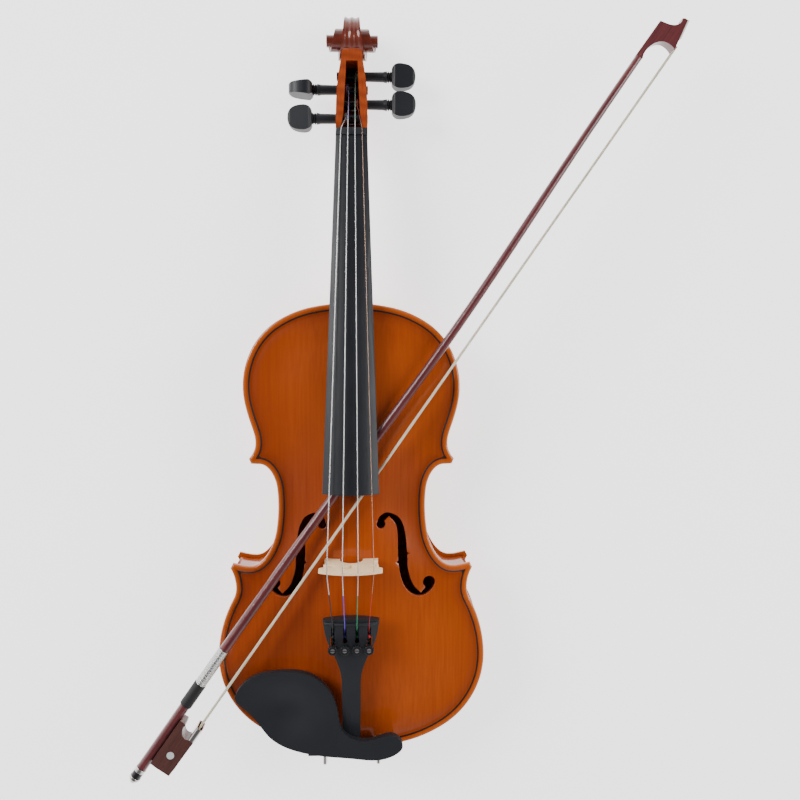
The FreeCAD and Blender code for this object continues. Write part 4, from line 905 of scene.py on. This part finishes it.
def tube(points, radii, sides=12, caps=True):
    """Round tube along the points: ring k = point k + r (cos a u + sin a v), u, v carried along."""
    p = np.asarray(points, float)
    r = np.broadcast_to(np.asarray(radii, float), (len(p),))
    t = np.gradient(p, axis=0)
    t /= np.linalg.norm(t, axis=1)[:, None] + 1e-12
    u = np.cross(t[0], [0.3, 0.2, 0.93])
    us = []
    for k in range(len(p)):
        u = u - t[k] * (u @ t[k])
        u = u / np.linalg.norm(u)
        us.append(u)
    us = np.array(us)
    vs = np.cross(t, us)
    a = np.linspace(0, 2 * np.pi, sides, endpoint=False)
    grid = p[:, None] + r[:, None, None] * (np.cos(a)[None, :, None] * us[:, None]
                                            + np.sin(a)[None, :, None] * vs[:, None])
    faces = strip_faces(len(p), sides, False, True).tolist()
    if caps:
        faces.append(list(range(sides)))
        faces.append(list(range((len(p) - 1) * sides, len(p) * sides))[::-1])
    return grid.reshape(-1, 3), faces


def finish_all(names, material, bevel=0.3, angle=35.0, segments=2):
    for n in names:
        item = refined(n, material, bevel, angle, segments=segments)


# ---------------------------------------------------------------- the scroll

SCROLL_CENTRE = (558.0, 23.4)
STEPS_PER_TURN = 32


def spiral_radius(t):
    """Radius after t turns: 22 exp(-0.62 t), opening faster before the start to run into the pegbox."""
    return 22.0 * np.exp(-0.62 * t) * np.where(t < 0, 1 + 4.7 * t * t, 1.0)


def spiral_half(t):
    """Half width of the volute after t turns, from the narrow crown out to the two eyes."""
    return np.interp(t, [-0.15, 0.0, 0.25, 0.45, 0.6, 0.75, 0.9, 1.25, 1.5, 1.75, 2.0, 2.2, 4.0],
                     [7.6, 6.4, 5.1, 6.6, 8.4, 10.9, 11.5, 12.2, 14.5, 17.2, 19.2, 20.0, 20.0])


def spiral_points(t, r, x):
    a = -np.pi / 2 + 2 * np.pi * t
    return np.stack([x, SCROLL_CENTRE[0] + r * np.cos(a), SCROLL_CENTRE[1] + r * np.sin(a)], -1)


def volute():
    """Spiral staircase: fluted outer wall, hollowed ledges and rising walls on both sides, and a flat eye."""
    first, last, eye = -0.125, 3.2, 2.2
    step = 1.0 / STEPS_PER_TURN
    outer = np.arange(first, first + 1 + step / 2, step)
    c = np.linspace(-1, 1, 21)
    tt, cc = np.meshgrid(outer, c, indexing="ij")
    flute = 0.95 * np.sin(np.pi * np.clip(np.abs(cc) / 0.94, 0, 1)) ** 2
    parts = [(spiral_points(tt, spiral_radius(tt) - flute, cc * spiral_half(tt)).reshape(-1, 3),
              strip_faces(len(outer), len(c), False, False))]
    ledge = np.arange(first, eye + step / 2, step)
    wall = np.arange(first + 1, last + step / 2, step)
    k = np.linspace(0, 1, 9)
    for side in (1, -1):
        tt, kk = np.meshgrid(ledge, k, indexing="ij")
        low, high = spiral_radius(tt + 1), spiral_radius(tt)
        x = spiral_half(tt) - 0.9 * np.sin(np.pi * kk) ** 1.3
        grid = strip_faces(len(ledge), len(k), False, False)
        parts.append((spiral_points(tt, high + (low - high) * kk, side * x).reshape(-1, 3),
                      grid if side > 0 else grid[:, ::-1]))
        tt, kk = np.meshgrid(wall, np.linspace(0, 1, 4), indexing="ij")
        x = spiral_half(tt - 1) + (spiral_half(tt) - spiral_half(tt - 1)) * kk
        grid = strip_faces(len(wall), 4, False, False)
        parts.append((spiral_points(tt, spiral_radius(tt), side * x).reshape(-1, 3),
                      grid if side > 0 else grid[:, ::-1]))
        rim = np.arange(eye, last - step / 2, step)
        ring = spiral_points(rim, spiral_radius(rim), np.full(len(rim), side * 20.0))
        points = np.concatenate([ring, [[side * 20.4, SCROLL_CENTRE[0], SCROLL_CENTRE[1]]]])
        n = len(rim)
        fan = np.array([[i, (i + 1) % n, n] for i in range(n)])
        parts.append((points, fan if side > 0 else fan[:, ::-1]))
    return join_parts(parts)


def build_neck():
    """The frame's neck up to the throat of the head, with the volute in place of its last part."""
    neck = refined("neck_and_scroll", FINISHES["neck"], 0.0, 38, "neck_and_pegbox")
    work = bmesh.new()
    work.from_mesh(neck.data)
    cut = bmesh.ops.bisect_plane(work, geom=work.verts[:] + work.edges[:] + work.faces[:],
                                 plane_co=(0, (NECK_CUT_Y - HALF_BODY) * MM, 0), plane_no=(0, 1, 0), clear_outer=True)
    bmesh.ops.holes_fill(work, edges=[e for e in cut["geom_cut"] if isinstance(e, bmesh.types.BMEdge)])
    bmesh.ops.dissolve_limit(work, angle_limit=math.radians(1.0), verts=work.verts, edges=work.edges)
    work.to_mesh(neck.data)
    work.free()
    ease_edges(neck, 0.35, 38, 3)
    points, faces = volute()
    scroll = collect("scroll_volute", points, faces, FINISHES["scroll"], 45)
    work = bmesh.new()
    work.from_mesh(scroll.data)
    bmesh.ops.remove_doubles(work, verts=work.verts, dist=2e-6)
    bmesh.ops.dissolve_degenerate(work, dist=1e-6, edges=work.edges)
    bmesh.ops.recalc_face_normals(work, faces=work.faces)
    work.to_mesh(scroll.data)
    work.free()
    scroll.data.shade_smooth()
    scroll.data.set_sharp_from_angle(angle=math.radians(45))
    ease_edges(scroll, 0.3, 50, 3)
    carry(scroll, "violin", finish="varnished_maple")


# ---------------------------------------------------------------- the bow

BOW_LENGTH = 713.0


def bow_to_body(points):
    """Bow axes (u along the stick, hair at -v, w up) turned about y, then about z, then moved."""
    a, b = math.radians(BOW_DIP), math.radians(BOW_ANGLE)
    p = np.asarray(points, float)
    x = p[:, 0] * math.cos(a) + p[:, 2] * math.sin(a)
    z = -p[:, 0] * math.sin(a) + p[:, 2] * math.cos(a)
    return np.stack([x * math.cos(b) - p[:, 1] * math.sin(b) - 170.5,
                     x * math.sin(b) + p[:, 1] * math.cos(b) - 9.5, z + 72.65], -1)


def stick_line(u):
    """Centre line of the stick: v = -(3.4 + 4.6 exp(-((u/L - 0.6)/0.2)^2))."""
    return -(3.4 + 4.6 * np.exp(-((u / BOW_LENGTH - 0.60) / 0.20) ** 2))


def stick_radius(u):
    return (7.9 + (5.4 - 7.9) * np.clip((u - 110) / (BOW_LENGTH - 140), 0, 1)) / 2


def bow_wrap():
    """Wire lapping: radius = stick + 0.22 + 0.2 |sin(pi (u / pitch + a / 2 pi))| with a 0.5 mm pitch."""
    u = np.linspace(92.2, 123.8, 64 * 5)
    a = np.linspace(0, 2 * np.pi, 30, endpoint=False)
    uu, aa = np.meshgrid(u, a, indexing="ij")
    r = stick_radius(uu) + 0.22 + 0.2 * np.abs(np.sin(np.pi * (uu / 1.0 + aa / (2 * np.pi))))
    pts = np.stack([uu, stick_line(uu) + r * np.cos(aa), r * np.sin(aa)], -1).reshape(-1, 3)
    faces = strip_faces(len(u), len(a), False, True).tolist()
    faces.append(list(range(len(a))))
    faces.append(list(range((len(u) - 1) * len(a), len(u) * len(a)))[::-1])
    return bow_to_body(pts), faces


def bow_hair_strands(count, seed=4):
    """Round strands side by side from the ferrule to the head, each wandering a little from its row."""
    rng = np.random.default_rng(seed)
    across = int(count / 4)
    parts = []
    u = np.linspace(57.6, BOW_LENGTH - 20.0, 12)
    for k in range(across * 4):
        v0 = -22.3 + (-0.45 + 0.3 * (k % 4))
        w0 = -3.3 + 6.6 * (k // 4) / (across - 1)
        line = np.stack([u, v0 + rng.normal(0, 0.05, len(u)), w0 + rng.normal(0, 0.06, len(u))], -1)
        pts, faces = tube(line, 0.19, 5)
        parts.append((bow_to_body(pts), faces))
    return join_parts(parts)


# ---------------------------------------------------------------- strings

def string_piece(name, turns):
    """The frame string as a smooth tube: its coil on the peg, then the straight runs over nut and bridge."""
    r = {"g": 0.40, "d": 0.38, "a": 0.34, "e": 0.16}[name]
    side = -1 if name in ("g", "d") else 1
    dy, pz = {"g": (15.5, 32.6), "e": (28.0, 27.2), "d": (40.0, 23.6), "a": (51.5, 20.0)}[name]
    py = 481.6 + dy
    xc = {"g": -3.4, "d": -2.6, "a": 2.4, "e": 3.2}[name]
    rc = 3.25 + (xc * side + 16) / 60 + 0.44 + r
    k = COURSES.index(name) - 1.5
    crown = lambda width: 42.0 - math.sqrt(42.0 ** 2 - (width / 2) ** 2)
    xn, xb, xt = k * 16.2 / 3, k * 34.8 / 3, k * 27.6 / 3
    nut_z = 49.6 - crown(2 * abs(xn)) + r * 0.3
    far = np.array([xn, 486.0, nut_z - 0.75])
    dist = math.hypot(py - far[1], pz - far[2])
    angle = math.atan2(far[2] - pz, far[1] - py) - math.acos(rc / dist)
    t = np.linspace(turns, 0, int(turns * 28))
    a = angle + 2 * np.pi * t
    coil = np.stack([xc + side * (2 * r + 0.12) * t, py + rc * np.cos(a), pz + rc * np.sin(a)], -1)
    tail = lambda y: 63.4 + 0.158 * (y - 16.0)
    saddle = tail(112.2) + 1.3 - crown(2 * abs(xt)) * 0.75 + r
    corners = [far, [xn, 482.8, nut_z], [xb, 155.7, 95.0 - crown(2 * abs(xb)) + r * 0.4], [xt, 112.2, saddle],
               [xt, 108.6, tail(112.2) - 1.2], [xt, 102.6, 73.5]]
    path = [coil]
    last = coil[-1]
    for c in corners:
        c = np.asarray(c, float)
        n = max(int(np.linalg.norm(c - last) / 6), 2)
        path.append(last + (c - last) * np.linspace(0, 1, n + 1)[1:, None])
        last = c
    line = np.concatenate(path)
    soft = line.copy()
    soft[1:-1] = 0.25 * line[:-2] + 0.5 * line[1:-1] + 0.25 * line[2:]
    ball = [(0.0, 0.2), (0.3, 0.95), (0.9, 1.45), (1.6, 1.6), (2.3, 1.45), (2.9, 0.95), (3.2, 0.2)]
    end = lathe(ball, (xt, 101.3, 71.5), (0, 0, 1), (1, 0, 0), 20)
    return join_parts([tube(soft, r, 12), end])


# ---------------------------------------------------------------- panel settings

class ViolinLook(bpy.types.PropertyGroup):
    varnish_light: bpy.props.FloatVectorProperty(
        name="Varnish, light", description="Varnish colour over the pale part of the grain", subtype="COLOR",
        size=3, min=0, max=1, default=(0.45, 0.075, 0.005))
    # The dark varnish colour also gives the painted shade on the left of the plates and, darker still, in the channel
    # inside their edges.
    varnish_dark: bpy.props.FloatVectorProperty(
        name="Varnish, dark", description="Varnish colour over the dark grain lines and in the hollows",
        subtype="COLOR", size=3, min=0, max=1, default=(0.22, 0.024, 0.002))
    scroll_light: bpy.props.FloatVectorProperty(
        name="Scroll, light", description="Varnish colour on the scroll, where it is thicker", subtype="COLOR",
        size=3, min=0, max=1, default=(0.20, 0.036, 0.016))
    scroll_dark: bpy.props.FloatVectorProperty(
        name="Scroll, dark", description="Varnish colour in the grain and flutes of the scroll", subtype="COLOR",
        size=3, min=0, max=1, default=(0.10, 0.012, 0.008))
    ebony: bpy.props.FloatVectorProperty(
        name="Fittings", description="Colour of the blackened fittings", subtype="COLOR", size=3, min=0, max=1,
        default=(0.010, 0.011, 0.014))
    bow_light: bpy.props.FloatVectorProperty(
        name="Bow stick, light", description="Lighter grain of the bow stick", subtype="COLOR", size=3, min=0,
        max=1, default=(0.16, 0.030, 0.030))
    bow_dark: bpy.props.FloatVectorProperty(
        name="Bow stick, dark", description="Darker grain of the bow stick", subtype="COLOR", size=3, min=0,
        max=1, default=(0.055, 0.010, 0.014))
    hair_count: bpy.props.IntProperty(
        name="Hair strands", description="Number of strands drawn for the bow hair", default=88, min=16, max=240)


class ViolinStage(bpy.types.PropertyGroup):
    key_power: bpy.props.FloatProperty(
        name="Key light", description="Power of the soft box on the left", subtype="POWER", unit="POWER", default=30.0,
        min=0)
    room_light: bpy.props.FloatProperty(
        name="Room light", description="Strength of the light from all round", default=1.5, min=0)
    floor_glow: bpy.props.FloatProperty(
        name="Floor glow", description="Light given off by the floor, as from a lit table", default=1.6, min=0)
    floor_size: bpy.props.FloatProperty(
        name="Floor size", description="Width of the pale floor", subtype="DISTANCE", unit="LENGTH", default=8.0,
        min=1)


def ready(context):
    """Makes the finishes once, from the colours in the panel."""
    if not FINISHES:
        make_finishes(context.scene.violin_look)


class VIOLIN_OT_plates(bpy.types.Operator):
    """Adds the carved belly and back with their inlaid edge lines"""
    bl_idname = "violin.plates"
    bl_label = "Belly and back"

    def execute(self, context):
        ready(context)
        build_plate("belly_plate", False)
        build_plate("back_plate", True)
        return {"FINISHED"}


class VIOLIN_OT_ribs(bpy.types.Operator):
    """Finishes the ribs and everything glued inside the body"""
    bl_idname = "violin.ribs"
    bl_label = "Ribs and inner work"

    def execute(self, context):
        ready(context)
        finish_all([f"rib_{a}_{b}" for a in ("upper", "waist", "lower") for b in ("bass", "treble")],
                   FINISHES["ribs"], 0.0, 40)
        for n in ("back_linings", "belly_linings", "bass_bar", "corner_blocks", "neck_block", "tail_block",
                  "sound_post"):
            finish_node(n, FINISHES["inner"])
        return {"FINISHED"}


class VIOLIN_OT_neck(bpy.types.Operator):
    """Adds the neck with its scroll, the nut and the fingerboard"""
    bl_idname = "violin.neck"
    bl_label = "Neck and fingerboard"

    def execute(self, context):
        ready(context)
        build_neck()
        finish_all(["fingerboard"], FINISHES["ebony"], 0.5, 30, 3)
        finish_all(["nut"], FINISHES["ebony"], 0.25, 30)
        return {"FINISHED"}


class VIOLIN_OT_pegs(bpy.types.Operator):
    """Adds the four tuning pegs"""
    bl_idname = "violin.pegs"
    bl_label = "Pegs"

    def execute(self, context):
        ready(context)
        finish_all(["peg_" + n for n in COURSES], FINISHES["ebony"], 0.25, 40, 3)
        return {"FINISHED"}


class VIOLIN_OT_strings(bpy.types.Operator):
    """Adds the four strings with their coils and ball ends"""
    bl_idname = "violin.strings"
    bl_label = "Strings"

    def execute(self, context):
        ready(context)
        for n in COURSES:
            points, faces = string_piece(n, 3.2 if n == "e" else 2.4)
            item = collect("string_" + n + "_wound", points, faces, FINISHES["string_" + n], 50)
            carry(item, BODY_OF["string_" + n], "string_" + n, finish="string_metal")
        return {"FINISHED"}


class VIOLIN_OT_bridge(bpy.types.Operator):
    """Adds the bridge"""
    bl_idname = "violin.bridge"
    bl_label = "Bridge"

    def execute(self, context):
        ready(context)
        finish_all(["bridge"], FINISHES["bridge"], 0.35, 30, 3)
        return {"FINISHED"}


class VIOLIN_OT_tail(bpy.types.Operator):
    """Adds the tailpiece with its fine tuners, the tailgut, the saddle and the end button"""
    bl_idname = "violin.tail"
    bl_label = "Tailpiece and end button"

    def execute(self, context):
        ready(context)
        finish_all(["tailpiece"], FINISHES["matt_black"], 0.45, 32, 3)
        finish_all(["saddle", "endpin"], FINISHES["ebony"], 0.4, 32, 3)
        finish_all(["tailgut"], FINISHES["gut"], 0.0, 60)
        finish_all(["tuner_lever_" + n for n in COURSES], FINISHES["tuner"], 0.2, 32)
        finish_all(["tuner_screw_" + n for n in COURSES], FINISHES["tuner_screw"], 0.15, 32)
        finish_all(["tuner_hinge_pin"], FINISHES["nickel"], 0.1, 32)
        return {"FINISHED"}


class VIOLIN_OT_chinrest(bpy.types.Operator):
    """Adds the chin rest and its clamp"""
    bl_idname = "violin.chinrest"
    bl_label = "Chin rest"

    def execute(self, context):
        ready(context)
        finish_all(["chinrest_plate"], FINISHES["matt_black"], 1.2, 30, 4)
        finish_all(["chinrest_corks", "chinrest_foot_cork"], FINISHES["cork"], 0.3, 30)
        finish_all(["chinrest_hooks", "chinrest_foot", "chinrest_barrel_bass", "chinrest_barrel_treble"],
                   FINISHES["nickel"], 0.25, 35)
        return {"FINISHED"}


class VIOLIN_OT_bow(bpy.types.Operator):
    """Adds the bow that lies across the strings"""
    bl_idname = "violin.bow"
    bl_label = "Bow"

    def execute(self, context):
        ready(context)
        finish_all(["bow_stick"], FINISHES["bow"], 0.3, 35, 2)
        finish_all(["bow_tip_plate"], FINISHES["ivory"], 0.15, 35)
        finish_all(["bow_frog"], FINISHES["frog"], 0.5, 32, 3)
        finish_all(["bow_ferrule"], FINISHES["silver"], 0.3, 32, 3)
        finish_all(["bow_button"], FINISHES["button"], 0.25, 32, 3)
        finish_all(["bow_pearl_inlays"], FINISHES["pearl"], 0.1, 32)
        finish_all(["bow_eyelet"], FINISHES["brass"], 0.1, 32)
        finish_all(["bow_screw"], FINISHES["steel"], 0.1, 32)
        finish_all(["bow_grip"], FINISHES["leather"], 0.3, 32, 3)
        points, faces = bow_wrap()
        carry(collect("bow_wire_wrap", points, faces, FINISHES["winding"], 60), BODY_OF["bow_winding"],
              "bow_winding", finish="bow_silver")
        points, faces = bow_hair_strands(context.scene.violin_look.hair_count)
        carry(collect("bow_hair_strands", points, faces, FINISHES["hair"], 60), BODY_OF["bow_hair"],
              "bow_hair", finish="bow_hair")
        return {"FINISHED"}


class VIOLIN_OT_stage(bpy.types.Operator):
    """Adds the pale floor, the soft lights and the camera"""
    bl_idname = "violin.stage"
    bl_label = "Floor, lights and camera"

    def execute(self, context):
        look = context.scene.violin_stage
        half = look.floor_size / 2
        mesh = bpy.data.meshes.new("floor")
        mesh.from_pydata([(-half, -half, -0.001), (half, -half, -0.001), (half, half, -0.001),
                          (-half, half, -0.001)], [], [(0, 1, 2, 3)])
        floor = bpy.data.objects.new("floor", mesh)
        context.scene.collection.objects.link(floor)
        m, _, s = base_material("Pale floor")
        s.inputs["Base Color"].default_value = (0.93, 0.93, 0.93, 1)
        s.inputs["Roughness"].default_value = 0.9
        s.inputs["Specular IOR Level"].default_value = 0.0
        s.inputs["Emission Color"].default_value = (1, 1, 1, 1)
        s.inputs["Emission Strength"].default_value = look.floor_glow
        mesh.materials.append(m)
        world = bpy.data.worlds.new("Studio")
        world.use_nodes = True
        tree = world.node_tree
        place = tree.nodes.new("ShaderNodeTexCoord")
        split = tree.nodes.new("ShaderNodeSeparateXYZ")
        tree.links.new(place.outputs["Generated"], split.inputs[0])
        shade = ramp(tree, split.outputs["Z"], [(0.0, (1, 1, 1)), (0.45, (0.95, 0.95, 0.95)),
                                                (0.72, (0.14, 0.14, 0.15)), (1.0, (0.05, 0.05, 0.055))])
        tree.links.new(shade, tree.nodes["Background"].inputs[0])
        tree.nodes["Background"].inputs[1].default_value = look.room_light
        context.scene.world = world
        lamps = [("key", (-1.35, 0.85, 1.25), 0.9, look.key_power),
                 ("fill", (1.45, 0.35, 1.1), 0.9, look.key_power * 0.55)]
        for name, place, size, power in lamps:
            data = bpy.data.lights.new(name, "AREA")
            data.shape = "SQUARE"
            data.size = size
            data.energy = power
            lamp = bpy.data.objects.new(name, data)
            context.scene.collection.objects.link(lamp)
            lamp.location = place
            aim = Vector((0, 0.05, 0.03)) - lamp.location
            lamp.rotation_euler = aim.to_track_quat("-Z", "Y").to_euler()
        data = bpy.data.cameras.new("camera")
        data.lens = 35.58
        data.sensor_width = 36.0
        data.clip_start = 0.01
        camera = bpy.data.objects.new("camera", data)
        context.scene.collection.objects.link(camera)
        camera.location = (0.01697, 0.15027, 0.66133)
        turn = (Euler((0, 0, -0.00103793)).to_matrix() @ Euler((0, 0.0333636, 0)).to_matrix()
                @ Euler((0.0776020856, 0, 0)).to_matrix())
        camera.rotation_euler = turn.transposed().to_euler()
        context.scene.camera = camera
        return {"FINISHED"}


class VIOLIN_PT_panel(bpy.types.Panel):
    """Lists the operators and the settings"""
    bl_idname = "VIOLIN_PT_panel"
    bl_label = "Violin"
    bl_space_type = "VIEW_3D"
    bl_region_type = "UI"
    bl_category = "Violin"

    def draw(self, context):
        column = self.layout.column()
        for item in (context.scene.violin_look, context.scene.violin_stage):
            for name in item.bl_rna.properties.keys():
                if name not in ("rna_type", "name"):
                    column.prop(item, name)
        for operator in OPERATORS:
            column.operator(operator.bl_idname)


OPERATORS = (VIOLIN_OT_plates, VIOLIN_OT_ribs, VIOLIN_OT_neck, VIOLIN_OT_pegs, VIOLIN_OT_strings,
             VIOLIN_OT_bridge, VIOLIN_OT_tail, VIOLIN_OT_chinrest, VIOLIN_OT_bow, VIOLIN_OT_stage)
CLASSES = (ViolinLook, ViolinStage) + OPERATORS + (VIOLIN_PT_panel,)


def register():
    for c in CLASSES:
        bpy.utils.register_class(c)
    bpy.types.Scene.violin_look = bpy.props.PointerProperty(
        name="Look", description="Colours of the violin and the bow", type=ViolinLook)
    bpy.types.Scene.violin_stage = bpy.props.PointerProperty(
        name="Stage", description="Floor and lights", type=ViolinStage)


def unregister():
    del bpy.types.Scene.violin_look
    del bpy.types.Scene.violin_stage
    for c in reversed(CLASSES):
        bpy.utils.unregister_class(c)


def main():
    register()
    bpy.ops.violin.plates()
    bpy.ops.violin.ribs()
    bpy.ops.violin.neck()
    bpy.ops.violin.pegs()
    bpy.ops.violin.strings()
    bpy.ops.violin.bridge()
    bpy.ops.violin.tail()
    bpy.ops.violin.chinrest()
    bpy.ops.violin.bow()
    bpy.ops.violin.stage()


if __name__ == "__main__":
    main()
